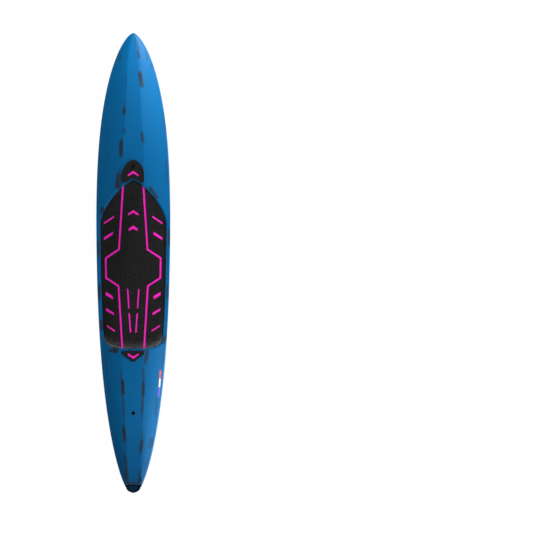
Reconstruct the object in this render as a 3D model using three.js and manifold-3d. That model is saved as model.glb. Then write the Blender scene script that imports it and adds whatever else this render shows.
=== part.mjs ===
// Downwind foil board: millimetres, +Z up, nose towards +Y, resting on the flat of its bottom at Z 0
import * as THREE from 'three';
import { mergeVertices } from 'three/addons/utils/BufferGeometryUtils.js';
import Module from 'manifold-3d';

const wasm = await Module();
wasm.setup();

// Overall size and hull lines
const boardLength = 2540;
const boardBeam = 410;
const boardThickness = 160;
const noseRocker = 96;        // height of the bottom at the nose tip
const tailRocker = 50;        // height of the bottom at the tail end
const noseDeckDrop = 32;      // fall of the deck from its crown to the nose tip
const tailDeckDrop = 42;      // fall of the deck from its crown to the tail end
const flatFrontY = 380;       // the bottom is flat from here ...
const flatRearY = -480;       // ... to here
const deckCrownY = 150;       // highest place of the deck
const bowReach = 1120;        // length over which the bow outline widens
const sternReach = 1677;      // length over which the stern outline narrows
const sternOverhang = 19;     // the stern curve would close this far behind the cut-off tail
const tailEndLength = 34.5;   // rounding of the tail end in plan
const tailEndHalfWidth = 41;
const noseTipRound = 26;
const railBand = 14;          // width of the rounded upper rail, seen from above
const transomRun = 46;        // the transom slopes back by this much
const transomFoot = 5;        // upright edge below the transom
const transomWall = 8;

// Laminate, foam and general clearances
const skin = 4;
const seatGap = 0.3;
const hullEndInset = 62;      // solid laminate at the nose tip and tail end
const stringerThickness = 6;
const panelThickness = 5;
const overrun = 12;           // how far a cutter passes the face that it cuts
const tinyEdge = 0.03;        // shorter edges have no direction of their own
const mergeTolerance = 0.0001;

// Standing recess and deck pad
const padTipY = 457.6;
const padRearY = -472.5;
const padRailMargin = 22;     // from the pad's side edge to the rail
const padShoulderRun = 242;   // length of the pointed front of the pad
const padCornerRun = 88;      // length of the rounded rear corners
const spineRearMargin = 52.8;  // the rings of the floor close in on a line that ends here
const padEdgeGap = 1;
const recessWall = 9;
const recessDepth = 37;       // from the deck's crown down to the standing floor
const lipDepth = 11;          // depth of the floor's edge below the deck
const rearLipDepth = 8;
const rearLipRun = 95;
const dishRun = 77;           // the floor curves up to its edge over this distance
const baseFoam = 3.5;
const topFoam = 2;
const grooveWidth = 10;

// Nose tab and tail tab of the pad
const tabHalfWidth = 59.6;
const noseTabTipY = 568.6;
const noseTabRound = 77;
const noseTabRearY = 444;
const tabRimGap = 2;
const tabCorner = 14;
const tabCornerInset = 8.4;
const tailTabFrontY = -486.5;
const tailTabShoulder = 14;
const tailTabTipY = -547.6;
const tailTabShoulderInset = 8.4;
const tailTabShoulderSwell = 2.8;
const tailTabTipHalf = 11.2;
const tailTabTipRise = 7;
const tailTabTipSwell = 3.5;
const noseChevronY = 509.5;
const tailChevronY = -530.5;
const tabChevronHalf = 30;
const noseChevronSweep = 21;
const tailChevronSweep = 20.5;
const tabChevronArm = 14.5;

// Foil tracks and their T-nuts
const trackSpacing = 90;
const trackCentreY = -250;
const trackLength = 400;
const trackWidth = 26;
const trackDepth = 26;
const trackEndWall = 10;
const trackLip = 5;
const slotWidth = 9.6;
const grooveInWidth = 18;
const grooveInHeight = 8;
const dropInLength = 24;
const nutSpacing = 165;
const nutLength = 20;
const nutPlateHeight = 5;
const nutSideGap = 0.8;
const nutBossSide = 9;
const nutBossDrop = 3;
const nutBore = 6.8;
const blockHalfWidth = 84;
const blockEndMargin = 16;

// Vent plug in the nose tab
const ventY = 532.7;
const ventWell = 20;
const ventFlange = 18.4;
const ventFlangeHeight = 3.4;
const ventFlangeEdge = 1.36;
const ventBarrel = 14;
const ventBarrelLength = 20;
const ventBore = 8.4;
const ventSeat = 13.2;
const ventSeatDepth = 1.8;
const ventHead = 12;
const ventHeadHeight = 2.6;
const ventHeadEdge = 0.65;
const ventShank = 7.4;
const ventShankLength = 14;
const ventSocket = 5;
const ventSocketDepth = 1.7;
const sealSection = 1.6;

// Leash plug on the tail
const leashY = -829.8;
const leashCup = 21.5;
const leashCupDepth = 22;
const leashBore = 16.4;
const leashBoreDepth = 17;
const leashPin = 3.2;
const leashPinDepth = 5.5;
const leashEdge = 0.64;

// Carry handle in the bottom
const handleBlockGap = 16;    // from the foil block to the handle's flange
const handleLength = 156;
const handleWidth = 104;
const handleFlange = 4;
const handleFlangeRim = 12;
const handleWall = 2.5;
const handleDepth = 42;
const handleCorner = 26;
const handleBarWidth = 25;
const handleBarThickness = 14;
const handleBarInset = 3;
const handleBarCorner = 3.5;

const recessFloorZ = boardThickness - recessDepth;
const noseY = boardLength / 2;
const tailY = -boardLength / 2;
const clearZ = 3 * boardThickness;
const blockFrontY = trackCentreY + trackLength / 2 + blockEndMargin;
const blockRearY = trackCentreY - trackLength / 2 - blockEndMargin;
const handleY = blockFrontY + handleBlockGap + handleLength / 2;

// Hull lines along the length, as [share of length from the nose, value] pairs: widths in shares of half
// the beam, chine height of the hull's, rail height of the side's, and the facets' tilt in degrees
const stripWidthShares = [[0, 0.02], [0.01, 0.05], [0.06, 0.15], [0.2, 0.24], [0.275, 0.298],
  [0.7, 0.297], [0.83, 0.255], [0.982, 0.195], [1, 0.19]];
const flatWidthShares = [[0, 0.1], [0.1, 0.18], [0.25, 0.38], [0.4, 0.5], [0.7, 0.52], [1, 0.55]];
const chineWidthShares = [[0, 0.55], [0.12, 0.68], [0.3, 0.84], [0.7, 0.88], [1, 0.84]];
const chineHeightShares = [[0, 0.4], [0.12, 0.3], [0.3, 0.15], [0.5, 0.11], [0.8, 0.12], [1, 0.18]];
const railHeightShares = [[0, 0.7], [0.15, 0.66], [0.4, 0.6], [0.8, 0.58], [1, 0.55]];
const facetTiltAtShares = [[0, 23], [0.12, 20], [0.26, 14], [0.4, 12], [0.7, 12.5], [0.85, 16], [1, 21]];

// Value at a share of a line of pairs, with a smooth run between them
function lineAt(pairs, share) {
  const last = pairs.length - 1;
  if (share <= pairs[0][0]) return pairs[0][1];
  if (share >= pairs[last][0]) return pairs[last][1];
  const i = pairs.findIndex((pair) => pair[0] > share) - 1;
  const slope = (a, b) => (pairs[b][1] - pairs[a][1]) / (pairs[b][0] - pairs[a][0]);
  const tangent = (k) => {
    if (k === 0) return slope(0, 1);
    if (k === last) return slope(last - 1, last);
    const before = slope(k - 1, k);
    const after = slope(k, k + 1);
    return before * after <= 0 ? 0 : 2 * before * after / (before + after);
  };
  const run = pairs[i + 1][0] - pairs[i][0];
  const t = (share - pairs[i][0]) / run;
  return (1 + 2 * t) * (1 - t) ** 2 * pairs[i][1] + t * (1 - t) ** 2 * run * tangent(i)
    + t ** 2 * (3 - 2 * t) * pairs[i + 1][1] - t ** 2 * (1 - t) * run * tangent(i + 1);
}

const clampShare = (value) => Math.min(Math.max(value, 0), 1);
const lengthShare = (y) => (noseY - y) / boardLength;
// Outline curves that widen as (1 - (1 - s)^p)^q
const bowPowers = [2.754, 0.638];
const sternPowers = [2.573, 0.607];
const widestStripShare = 0.8;   // of the half beam, at the tips
const widestBandShare = 0.3;    // of the half beam, where the rail is narrow
const swell = (share, powers) => (1 - (1 - clampShare(share)) ** powers[0]) ** powers[1];

function halfBeam(y) {
  const bow = swell((noseY - y) / bowReach, bowPowers);
  const stern = swell((y - tailY + sternOverhang) / sternReach, sternPowers);
  const sides = boardBeam / 2 * Math.min(bow, stern);
  const intoEnd = (tailY + tailEndLength - y) / tailEndLength;
  return intoEnd <= 0 ? sides : Math.min(sides, tailEndHalfWidth * Math.sqrt(Math.max(1 - intoEnd ** 2, 0)));
}

const stripHalf = (y) => Math.min(boardBeam / 2 * lineAt(stripWidthShares, lengthShare(y)),
  halfBeam(y) * widestStripShare);
const facetSlope = (y) => Math.tan(THREE.MathUtils.degToRad(lineAt(facetTiltAtShares, lengthShare(y))));

function bottomZ(y) {
  if (y > flatFrontY) return noseRocker * ((y - flatFrontY) / (noseY - flatFrontY)) ** 2;
  if (y < flatRearY) return tailRocker * ((flatRearY - y) / (flatRearY - tailY)) ** 2;
  return 0;
}

const noseDropPower = 2.2;

function deckZ(y) {
  if (y > deckCrownY) {
    return boardThickness - noseDeckDrop * ((y - deckCrownY) / (noseY - deckCrownY)) ** noseDropPower;
  }
  return boardThickness - tailDeckDrop * ((deckCrownY - y) / (deckCrownY - tailY)) ** 2;
}

// Height of the three-faceted deck at a place, before any recess
const deckSurface = (x, y) => deckZ(y) - Math.max(Math.abs(x) - stripHalf(y), 0) * facetSlope(y);

function facetEdgeX(y) {
  const band = Math.min(railBand, halfBeam(y) * widestBandShare);
  return Math.max(halfBeam(y) - band, stripHalf(y));
}

// Height of the widest place of the hull, between the bottom and the facet's outer edge
function railZ(y) {
  const low = bottomZ(y);
  return low + (deckSurface(facetEdgeX(y), y) - low) * lineAt(railHeightShares, lengthShare(y));
}

// Geometry helpers
function manifoldOf(positions, indices) {
  const geometry = new THREE.BufferGeometry();
  geometry.setAttribute('position', new THREE.Float32BufferAttribute(positions, 3));
  geometry.setIndex(indices);
  return solidOf(geometry);
}

function solidOf(geometry) {
  const bare = geometry.clone();
  bare.deleteAttribute('normal');
  bare.deleteAttribute('uv');
  const merged = mergeVertices(bare, mergeTolerance);
  const points = merged.getAttribute('position');
  const index = merged.index.array;
  let triangles = [];
  for (let i = 0; i < index.length; i += 3) {
    const [a, b, c] = [index[i], index[i + 1], index[i + 2]];
    if (a !== b && b !== c && c !== a) triangles.push([a, b, c]);
  }
  let volume = 0;
  const corner = (k) => new THREE.Vector3().fromBufferAttribute(points, k);
  for (const [a, b, c] of triangles) volume += corner(a).dot(corner(b).cross(corner(c)));
  if (volume < 0) triangles = triangles.map(([a, b, c]) => [a, c, b]);
  return new wasm.Manifold(new wasm.Mesh({
    numProp: 3,
    vertProperties: new Float32Array(points.array),
    triVerts: new Uint32Array(triangles.flat()),
  }));
}

// Skin stretched over closed rings of equally many points, folded along the shorter diagonal of each
// quad; an end ring that isn't collapsed gets a fan
function loft(rings) {
  const points = rings.flat();
  const positions = points.flatMap((p) => [p.x, p.y, p.z]);
  const indices = [];
  const count = rings[0].length;
  for (let r = 0; r < rings.length - 1; r++) {
    for (let k = 0; k < count; k++) {
      const next = (k + 1) % count;
      const [a, b, c, d] = [r * count + k, r * count + next, (r + 1) * count + next, (r + 1) * count + k];
      const diagonals = points[b].distanceTo(points[d]) - points[a].distanceTo(points[c]);
      if (diagonals > mergeTolerance) indices.push(a, b, c, a, c, d);
      else indices.push(a, b, d, b, c, d);
    }
  }
  for (const [r, flip] of [[0, true], [rings.length - 1, false]]) {
    const ring = rings[r];
    const middle = ring.reduce((sum, p) => sum.add(p), new THREE.Vector3()).divideScalar(count);
    const spread = Math.max(...ring.map((p) => Math.abs(p.x)));
    if (spread < tinyEdge) continue;
    const centre = positions.length / 3;
    positions.push(middle.x, middle.y, middle.z);
    for (let k = 0; k < count; k++) {
      const pair = [r * count + k, r * count + (k + 1) % count];
      indices.push(centre, ...(flip ? pair.reverse() : pair));
    }
  }
  return manifoldOf(positions, indices);
}

const roundSides = 24;
const pinSides = 16;
const hexSides = 6;
const place = (geometry, x, y, z) => solidOf(geometry.translate(x, y, z));
const box = (w, l, h, x, y, z) => place(new THREE.BoxGeometry(w, l, h), x, y, z + h / 2);

// Upright cylinder of a diameter, with its foot at z
function post(diameter, height, x, y, z, sides = roundSides) {
  const geometry = new THREE.CylinderGeometry(diameter / 2, diameter / 2, height, sides);
  return place(geometry.rotateX(Math.PI / 2), x, y, z + height / 2);
}

// Upright prism over a plan outline given as [x, y] points
function prism(points, low, high) {
  const shape = new THREE.Shape(points.map(([x, y]) => new THREE.Vector2(x, y)));
  const geometry = new THREE.ExtrudeGeometry(shape, { depth: high - low, bevelEnabled: false });
  return place(geometry, 0, 0, low);
}

// Prism across the board over a profile given as [y, z] points
function crossPrism(points, halfWidth) {
  const shape = new THREE.Shape(points.map(([y, z]) => new THREE.Vector2(y, z)));
  const geometry = new THREE.ExtrudeGeometry(shape, { depth: 2 * halfWidth, bevelEnabled: false });
  geometry.rotateX(Math.PI / 2).rotateZ(Math.PI / 2);
  return place(geometry, -halfWidth, 0, 0);
}

const without = (solid, ...cutters) => cutters.reduce((rest, cutter) => rest.subtract(cutter), solid);

// Hull cross-section from the bottom centre round to the deck centre, then back on the other side
const outerSideSteps = 4;
const innerSideSteps = 2;
const sharpestMitreShare = 0.5;
const chineStart = THREE.MathUtils.degToRad(32);

function halfSection(y, sideSteps) {
  const half = halfBeam(y);
  const low = bottomZ(y);
  const high = deckZ(y);
  const rail = railZ(y);
  const share = lengthShare(y);
  const strip = stripHalf(y);
  const flat = half * lineAt(flatWidthShares, share);
  const chineX = half * lineAt(chineWidthShares, share);
  const chineZ = low + (high - low) * lineAt(chineHeightShares, share);
  const facetX = facetEdgeX(y);
  const facetZ = deckSurface(facetX, y);
  const points = [[0, low], [flat, low], [chineX, chineZ]];
  for (let i = 1; i <= sideSteps; i++) {
    const angle = chineStart + (Math.PI / 2 - chineStart) * i / sideSteps;
    const out = (Math.sin(angle) - Math.sin(chineStart)) / (1 - Math.sin(chineStart));
    const up = 1 - Math.cos(angle) / Math.cos(chineStart);
    points.push([chineX + (half - chineX) * out, chineZ + (rail - chineZ) * up]);
  }
  for (let i = 1; i <= sideSteps; i++) {
    const angle = Math.PI / 2 * i / sideSteps;
    points.push([facetX + (half - facetX) * Math.cos(angle), rail + (facetZ - rail) * Math.sin(angle)]);
  }
  points.push([strip, high], [0, high]);
  return points;
}

// Moves a half section inwards by a wall thickness, measured square to its edges
function insetSection(points, wall) {
  if (wall === 0) return points;
  const edgeNormal = (a, b) => {
    const edge = new THREE.Vector2(b[0] - a[0], b[1] - a[1]);
    return edge.length() < tinyEdge ? null : new THREE.Vector2(-edge.y, edge.x).normalize();
  };
  const last = points.length - 1;
  return points.map(([x, z], i) => {
    const before = i > 0 ? edgeNormal(points[i - 1], points[i]) : null;
    const after = i < last ? edgeNormal(points[i], points[i + 1]) : null;
    const normal = new THREE.Vector2().add(before ?? after).add(after ?? before).normalize();
    const reach = wall / Math.max(normal.dot(before ?? after), sharpestMitreShare);
    return [i === 0 || i === last ? 0 : Math.max(x + normal.x * reach, 0), z + normal.y * reach];
  });
}

function hullRing(y, wall) {
  const points = insetSection(halfSection(y, wall === 0 ? outerSideSteps : innerSideSteps), wall);
  const intoTip = Math.max(1 - (noseY - y) / noseTipRound, 0);
  const close = wall === 0 ? Math.sqrt(Math.max(1 - intoTip ** 2, 0)) : 1;
  const tipZ = railZ(noseY);
  const at = ([x, z], side) => new THREE.Vector3(side * x, y, tipZ + (z - tipZ) * close);
  const right = points.map((point) => at(point, 1));
  const left = points.slice(1, -1).reverse().map((point) => at(point, -1));
  return [...right, ...left];
}

// Stations lie close together at the ends, where the outline turns
function hull(wall, stations) {
  const front = wall === 0 ? noseY : noseY - hullEndInset;
  const rear = wall === 0 ? tailY : tailY + hullEndInset;
  const rings = [];
  for (let i = 0; i <= stations; i++) {
    const y = (front + rear) / 2 + (front - rear) / 2 * Math.cos(Math.PI * i / stations);
    rings.push(hullRing(y, wall));
  }
  return loft(rings);
}

// Outline of the main pad: front tip, pointed arch, sides along the rail, round rear corners
const archPowers = [1.55, 0.77];
const cornerPowers = [3.6, 0.28];
const archSteps = 10;
const sideSteps = 5;
const cornerSteps = 8;
const archBunching = 1.7;       // rows lie closer where the outline turns
const cornerBunching = 2.4;
const padHalf = (y) => (halfBeam(y) - padRailMargin)
  * swell((padTipY - y) / padShoulderRun, archPowers) * swell((y - padRearY) / padCornerRun, cornerPowers);

function padOutline(grow) {
  const rows = [];
  for (let i = 0; i < archSteps; i++) rows.push(padTipY - padShoulderRun * (i / archSteps) ** archBunching);
  const sideLength = padTipY - padShoulderRun - padRearY - padCornerRun;
  for (let i = 0; i < sideSteps; i++) rows.push(padTipY - padShoulderRun - sideLength * i / sideSteps);
  for (let i = cornerSteps; i >= 0; i--) {
    rows.push(padRearY + padCornerRun * (i / cornerSteps) ** cornerBunching);
  }
  const right = rows.map((y) => new THREE.Vector2(padHalf(y), y));
  const left = right.slice(1, -1).reverse().map((p) => new THREE.Vector2(-p.x, p.y));
  return grown([...right, ...left], grow);
}

// Closed outline moved outwards, square to itself
function grown(outline, grow) {
  const count = outline.length;
  return outline.map((p, k) => {
    const along = outline[(k + 1) % count].clone().sub(outline[(k + count - 1) % count]).normalize();
    return new THREE.Vector2(p.x - along.y * grow, p.y + along.x * grow);
  });
}

// Standing floor: flat, but dished up to its edge where the deck round it is higher
function floorEdgeZ(x, y) {
  const rear = clampShare(1 - (y - padRearY) / rearLipRun);
  return deckSurface(x, y) - lipDepth + (lipDepth - rearLipDepth) * rear;
}

function floorZ(edge, inside) {
  const rise = Math.max(floorEdgeZ(edge.x, edge.y) - recessFloorZ, 0);
  return recessFloorZ + rise * clampShare(1 - inside / dishRun) ** 2;
}

// Rings that run in from an outline towards the centre line, at the given distances from its edge
const dishShares = [0, 0.25, 0.55, 1];
const spineFrontY = padTipY - padShoulderRun;
const spineRearY = padRearY + padCornerRun + spineRearMargin;
const innermostShare = 0.9;
const spinePoint = (p) => new THREE.Vector2(0, Math.min(Math.max(p.y, spineRearY), spineFrontY));

function innerPoint(edge, inside) {
  const spine = spinePoint(edge);
  return edge.clone().lerp(spine, Math.min(inside / edge.distanceTo(spine), innermostShare));
}

const lifted = (p, z) => new THREE.Vector3(p.x, p.y, z);

function dishRings(grow, lift, shares = dishShares) {
  const plain = padOutline(0);
  const outline = padOutline(grow);
  const rings = [plain.map((p) => lifted(spinePoint(p), recessFloorZ + lift))];
  for (const share of [...shares].reverse()) {
    rings.push(plain.map((p, k) => {
      const at = share === 0 ? outline[k] : innerPoint(p, dishRun * share);
      return lifted(at, floorZ(p, dishRun * share) + lift);
    }));
  }
  return rings;
}

// Layer of the pad or panel that follows the standing floor between two heights above it
const dishLayer = (low, high, shares) => loft([...dishRings(0, low, shares),
  ...dishRings(0, high, shares).reverse()]);

// Cutter for the standing recess; thicker walls and a deeper floor for the pieces below the skin
function recess(deeper) {
  const grow = padEdgeGap + deeper;
  const plain = padOutline(0);
  const rings = dishRings(grow, -deeper);
  const rim = padOutline(grow + recessWall);
  const above = padOutline(grow + recessWall + overrun);
  const rise = (p) => deckSurface(p.x, p.y) - floorEdgeZ(p.x, p.y) + deeper;
  rings.push(rim.map((p, k) => lifted(p, floorZ(plain[k], 0) - deeper + rise(plain[k]))));
  rings.push(above.map((p, k) => lifted(p, floorZ(plain[k], 0) - deeper
    + rise(plain[k]) * (1 + overrun / recessWall))));
  rings.push(above.map((p) => lifted(p, clearZ)));
  rings.push(plain.map((p) => lifted(spinePoint(p), clearZ)));
  return loft(rings);
}

// Straps of the routed lines: a path with a width, mitred at its corners
function strap(path, width, low, high) {
  const sides = [1, -1].map((side) => path.map(([x, y], i) => {
    const before = path[Math.max(i - 1, 0)];
    const after = path[Math.min(i + 1, path.length - 1)];
    const inward = new THREE.Vector2(x - before[0], y - before[1]);
    const onward = new THREE.Vector2(after[0] - x, after[1] - y);
    if (i === 0) inward.copy(onward);
    if (i === path.length - 1) onward.copy(inward);
    const mitre = inward.normalize().add(onward.normalize()).normalize();
    const reach = width / 2 / Math.max(mitre.dot(onward), sharpestMitreShare);
    return [x - mitre.y * reach * side, y + mitre.x * reach * side];
  }));
  return prism([...sides[0], ...sides[1].reverse()], low, high);
}

// Bodies of the hull
const hullStations = 44;
const coreStations = 22;
const seamSteps = 14;

// Removes the wedge above the sloped transom, moved forward by the wall that is left
function transomWedge(forward) {
  const foot = bottomZ(tailY) + transomFoot;
  const slope = transomRun / (deckZ(tailY + transomRun) - foot);
  const rise = clearZ - foot;
  return crossPrism([[tailY + forward, foot], [tailY + forward + slope * rise, clearZ],
    [tailY - overrun, clearZ], [tailY - overrun, foot]], boardBeam);
}

// Everything above the seam between the two skins
function aboveSeam(lift) {
  const seam = [];
  for (let i = 0; i <= seamSteps; i++) {
    const y = noseY + overrun - (boardLength + 2 * overrun) * i / seamSteps;
    seam.push([y, railZ(Math.min(Math.max(y, tailY), noseY)) + lift]);
  }
  return crossPrism([...seam, [tailY - overrun, clearZ], [noseY + overrun, clearZ]], boardBeam);
}

const outerHull = without(hull(0, hullStations), recess(0), transomWedge(0));
const hollow = without(hull(skin, coreStations), recess(skin), transomWedge(transomWall));
const core = without(hull(skin + seatGap, coreStations), recess(skin + seatGap + panelThickness + seatGap),
  transomWedge(transomWall + seatGap));
const shell = without(outerHull, hollow);

const sideOf = { left: -1, right: 1 };
const trackX = (side) => sideOf[side] * trackSpacing / 2;
const trackBox = (side, gap) => box(trackWidth + 2 * gap, trackLength + 2 * gap, trackDepth + gap + overrun,
  trackX(side), trackCentreY, -overrun);
const trackBoxes = ['left', 'right'].map((side) => trackBox(side, seatGap));

function roundedPlate(length, width, corner, low, high) {
  const [x, y] = [width / 2, length / 2];
  const shape = new THREE.Shape();
  shape.moveTo(x, y - corner);
  shape.absarc(x - corner, y - corner, corner, 0, Math.PI / 2);
  shape.absarc(corner - x, y - corner, corner, Math.PI / 2, Math.PI);
  shape.absarc(corner - x, corner - y, corner, Math.PI, 1.5 * Math.PI);
  shape.absarc(x - corner, corner - y, corner, 1.5 * Math.PI, 2 * Math.PI);
  const settings = { depth: high - low, bevelEnabled: false, curveSegments: roundSides / 4 };
  return place(new THREE.ExtrudeGeometry(shape, settings), 0, handleY, low);
}

const tubLength = handleLength - 2 * handleFlangeRim;
const tubWidth = handleWidth - 2 * handleFlangeRim;
const tubCorner = handleCorner - handleFlangeRim;

function handleVolume(gap) {
  const flange = roundedPlate(handleLength + 2 * gap, handleWidth + 2 * gap, handleCorner + gap,
    gap > 0 ? -overrun : 0, handleFlange + gap);
  const tub = roundedPlate(tubLength + 2 * gap, tubWidth + 2 * gap, tubCorner + gap, 0, handleDepth + gap);
  return flange.add(tub);
}

const ventTopZ = deckZ(ventY) + seatGap;
const leashTopZ = deckZ(leashY);
const ventHole = post(ventBarrel + 2 * seatGap, ventBarrelLength + overrun, 0, ventY,
  ventTopZ - ventBarrelLength - seatGap);
const leashHole = post(leashCup + 2 * seatGap, leashCupDepth + overrun, 0, leashY,
  leashTopZ - leashCupDepth - seatGap);
const handleHole = handleVolume(seatGap);

const deckSkin = without(shell.intersect(aboveSeam(seatGap / 2)), ventHole, leashHole);
const bottomSkin = without(shell, aboveSeam(-seatGap / 2), ...trackBoxes, handleHole);

// Foam block round the tracks, with the light foam and the stringers ahead, behind and beside it
function blockBox(gap) {
  const length = blockFrontY - blockRearY + 2 * gap;
  return box(2 * (blockHalfWidth + gap), length, clearZ, 0, (blockFrontY + blockRearY) / 2, -overrun);
}

const foilBlock = without(core.intersect(blockBox(0)), ...trackBoxes);
const lighterCore = without(core, blockBox(seatGap), ventHole, leashHole, handleHole);

function coreHalf(side) {
  const inner = stringerThickness / 2 + seatGap;
  return lighterCore.intersect(box(boardBeam, 2 * boardLength, clearZ,
    sideOf[side] * (inner + boardBeam / 2), 0, -overrun));
}

function stringer(frontY, rearY) {
  const web = box(stringerThickness, frontY - rearY, clearZ, 0, (frontY + rearY) / 2, -overrun);
  return lighterCore.intersect(web);
}

// Dense panel under the standing floor, a little smaller than the pad
const panelTop = -(skin + seatGap);
const standingPanel = dishLayer(panelTop - panelThickness, panelTop, dishShares.slice(1));

// Foil track: a closed box with a T-slot that opens downwards and is wide at the drop-in opening
function foilTrack(side) {
  const x = trackX(side);
  const slotLength = trackLength - 2 * trackEndWall;
  const body = box(trackWidth, trackLength, trackDepth, x, trackCentreY, 0);
  const slot = box(slotWidth, slotLength, trackLip + 2 * overrun, x, trackCentreY, -overrun);
  const groove = box(grooveInWidth, slotLength, grooveInHeight, x, trackCentreY, trackLip);
  const dropIn = box(grooveInWidth, dropInLength, trackLip + overrun + seatGap, x, trackCentreY, -overrun);
  return without(body, slot.intersect(box(trackWidth, trackLength, trackLip + grooveInHeight + overrun,
    x, trackCentreY, -overrun)), groove, dropIn);
}

function trackNut(side, end) {
  const x = trackX(side);
  const y = trackCentreY + (end === 'front' ? 1 : -1) * nutSpacing / 2;
  const plateZ = trackLip + seatGap;
  const plate = box(grooveInWidth - 2 * nutSideGap, nutLength, nutPlateHeight, x, y, plateZ);
  const boss = box(nutBossSide, nutBossSide, nutBossDrop + nutPlateHeight / 2, x, y, plateZ - nutBossDrop);
  return without(plate.add(boss), post(nutBore, trackDepth, x, y, 0));
}

// Revolved fitting from [radius, height] points
function turned(points, y, z) {
  const geometry = new THREE.LatheGeometry(points.map(([r, h]) => new THREE.Vector2(r, h)), roundSides);
  return place(geometry.rotateX(Math.PI / 2), 0, y, z);
}

function ventHousing() {
  const top = ventFlangeHeight;
  const points = [[ventBore / 2, -ventBarrelLength], [ventBarrel / 2, -ventBarrelLength], [ventBarrel / 2, 0],
    [ventFlange / 2, 0], [ventFlange / 2, top - ventFlangeEdge], [ventFlange / 2 - ventFlangeEdge, top],
    [ventSeat / 2, top], [ventSeat / 2, top - ventSeatDepth], [ventBore / 2, top - ventSeatDepth],
    [ventBore / 2, -ventBarrelLength]];
  return turned(points, ventY, ventTopZ + seatGap);
}

const sealZ = ventTopZ + seatGap + ventFlangeHeight - ventSeatDepth + seatGap;

function ventSeal() {
  const ring = ventBore / 2 + sealSection / 2;
  const profile = [];
  for (let i = 0; i <= hexSides; i++) {
    const angle = 2 * Math.PI * (i % hexSides) / hexSides;
    profile.push([ring + sealSection / 2 * Math.cos(angle), sealSection / 2 * (1 + Math.sin(angle))]);
  }
  return turned(profile, ventY, sealZ);
}

function ventScrew() {
  const headZ = sealZ + sealSection + seatGap;
  const head = turned([[0, 0], [ventHead / 2, 0], [ventHead / 2, ventHeadHeight - ventHeadEdge],
    [ventHead / 2 - ventHeadEdge, ventHeadHeight], [0, ventHeadHeight]], ventY, headZ);
  const shank = post(ventShank, ventShankLength + ventHeadEdge, 0, ventY, headZ - ventShankLength);
  const socket = post(ventSocket / Math.cos(Math.PI / hexSides), ventSocketDepth + overrun, 0, ventY,
    headZ + ventHeadHeight - ventSocketDepth, hexSides);
  return without(head.add(shank), socket);
}

// Leash plug: a cup with a steel bar across it
function pinRod(diameter, length) {
  const geometry = new THREE.CylinderGeometry(diameter / 2, diameter / 2, length, pinSides);
  return place(geometry.rotateZ(Math.PI / 2), 0, leashY, leashTopZ - leashPinDepth);
}

function leashPlug() {
  const cup = turned([[0, -leashCupDepth], [leashCup / 2 - leashEdge, -leashCupDepth],
    [leashCup / 2, leashEdge - leashCupDepth], [leashCup / 2, -leashEdge], [leashCup / 2 - leashEdge, 0],
    [leashBore / 2 + leashEdge, 0], [leashBore / 2, -leashEdge], [leashBore / 2, -leashBoreDepth],
    [0, -leashBoreDepth]], leashY, leashTopZ);
  return without(cup, pinRod(leashPin + 2 * seatGap, leashCup + overrun));
}

// Handle: a tub with a flange flush with the bottom and a bar lengthwise across its mouth
function handlePocket() {
  const whole = handleVolume(0);
  const room = roundedPlate(tubLength - 2 * handleWall, tubWidth - 2 * handleWall, tubCorner - handleWall,
    -overrun, handleDepth - handleWall);
  const bar = roundedPlate(tubLength, handleBarWidth, handleBarCorner,
    handleBarInset, handleBarInset + handleBarThickness);
  const grip = bar.intersect(whole);
  return without(whole, room).add(grip);
}

// Pad pieces: the two foam layers, cut along the routed lines
const padLength = padTipY - padRearY;
const padHalfWidth = boardBeam / 2 - padRailMargin;
const padPoint = ([acrossShare, alongShare]) => [acrossShare * padHalfWidth,
  padTipY - alongShare * padLength];
const seamPathShares = [[0.309, -0.1], [0.309, 0.035], [0.4333, 0.4115], [0.8364, 0.4638], [0.8242, 0.5808],
  [0.4455, 0.6289], [0.3303, 1], [0.31, 1.1]];
// Short lines of the wings, as outer end, inner end and width across, seen from above
const wingLineShares = [
  [[-0.892, 0.257], [-0.582, 0.217], 0.0108],
  [[-0.890, 0.349], [-0.614, 0.3145], 0.0163],
  [[-0.836, 0.6725], [-0.617, 0.699], 0.0208],
  [[-0.824, 0.7675], [-0.586, 0.7955], 0.0155],
  [[-0.806, 0.865], [-0.553, 0.897], 0.0102],
];
// Slits on either side of the centre line, as front end, rear end and width
const slitLineShares = [
  [[0.1697, 0.647], [0.1318, 0.762], 0.046],
  [[0.1242, 0.7915], [0.0803, 0.9055], 0.049],
];
const slitSlant = 6;        // their outer corners lie this much further forward
// Chevrons as place of the apex, half width, sweep back and width of the arm, in shares of the pad
const chevronShares = [[0.1775, 0.16, 0.021, 0.0155], [0.2697, 0.1364, 0.0178, 0.0195]];

function seamStraps(low, high) {
  return ['left', 'right'].map((side) => {
    const path = seamPathShares.map(padPoint).map(([x, y]) => [sideOf[side] * x, y]);
    return strap(path, grooveWidth, low, high);
  });
}

function wingSlots(low, high) {
  return wingLineShares.flatMap(([outer, inner, widthShare]) => {
    const half = widthShare * padLength / 2;
    return ['left', 'right'].map((side) => {
      const at = (pair, up) => {
        const [x, y] = padPoint(pair);
        return [-sideOf[side] * x, y + up * half];
      };
      return prism([at(outer, 1), at(outer, -1), at(inner, -1), at(inner, 1)], low, high);
    });
  });
}

function slits(low, high) {
  return slitLineShares.flatMap(([front, rear, widthShare]) => {
    const half = widthShare * padHalfWidth / 2;
    return ['left', 'right'].map((side) => {
      const at = (pair, out) => {
        const [x, y] = padPoint(pair);
        return [sideOf[side] * (x + out * half), y + out * slitSlant / 2];
      };
      return prism([at(front, -1), at(front, 1), at(rear, 1), at(rear, -1)], low, high);
    });
  });
}

// Chevron whose apex is at y; a negative sweep points it at the tail
const armEndShare = 0.8;

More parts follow.
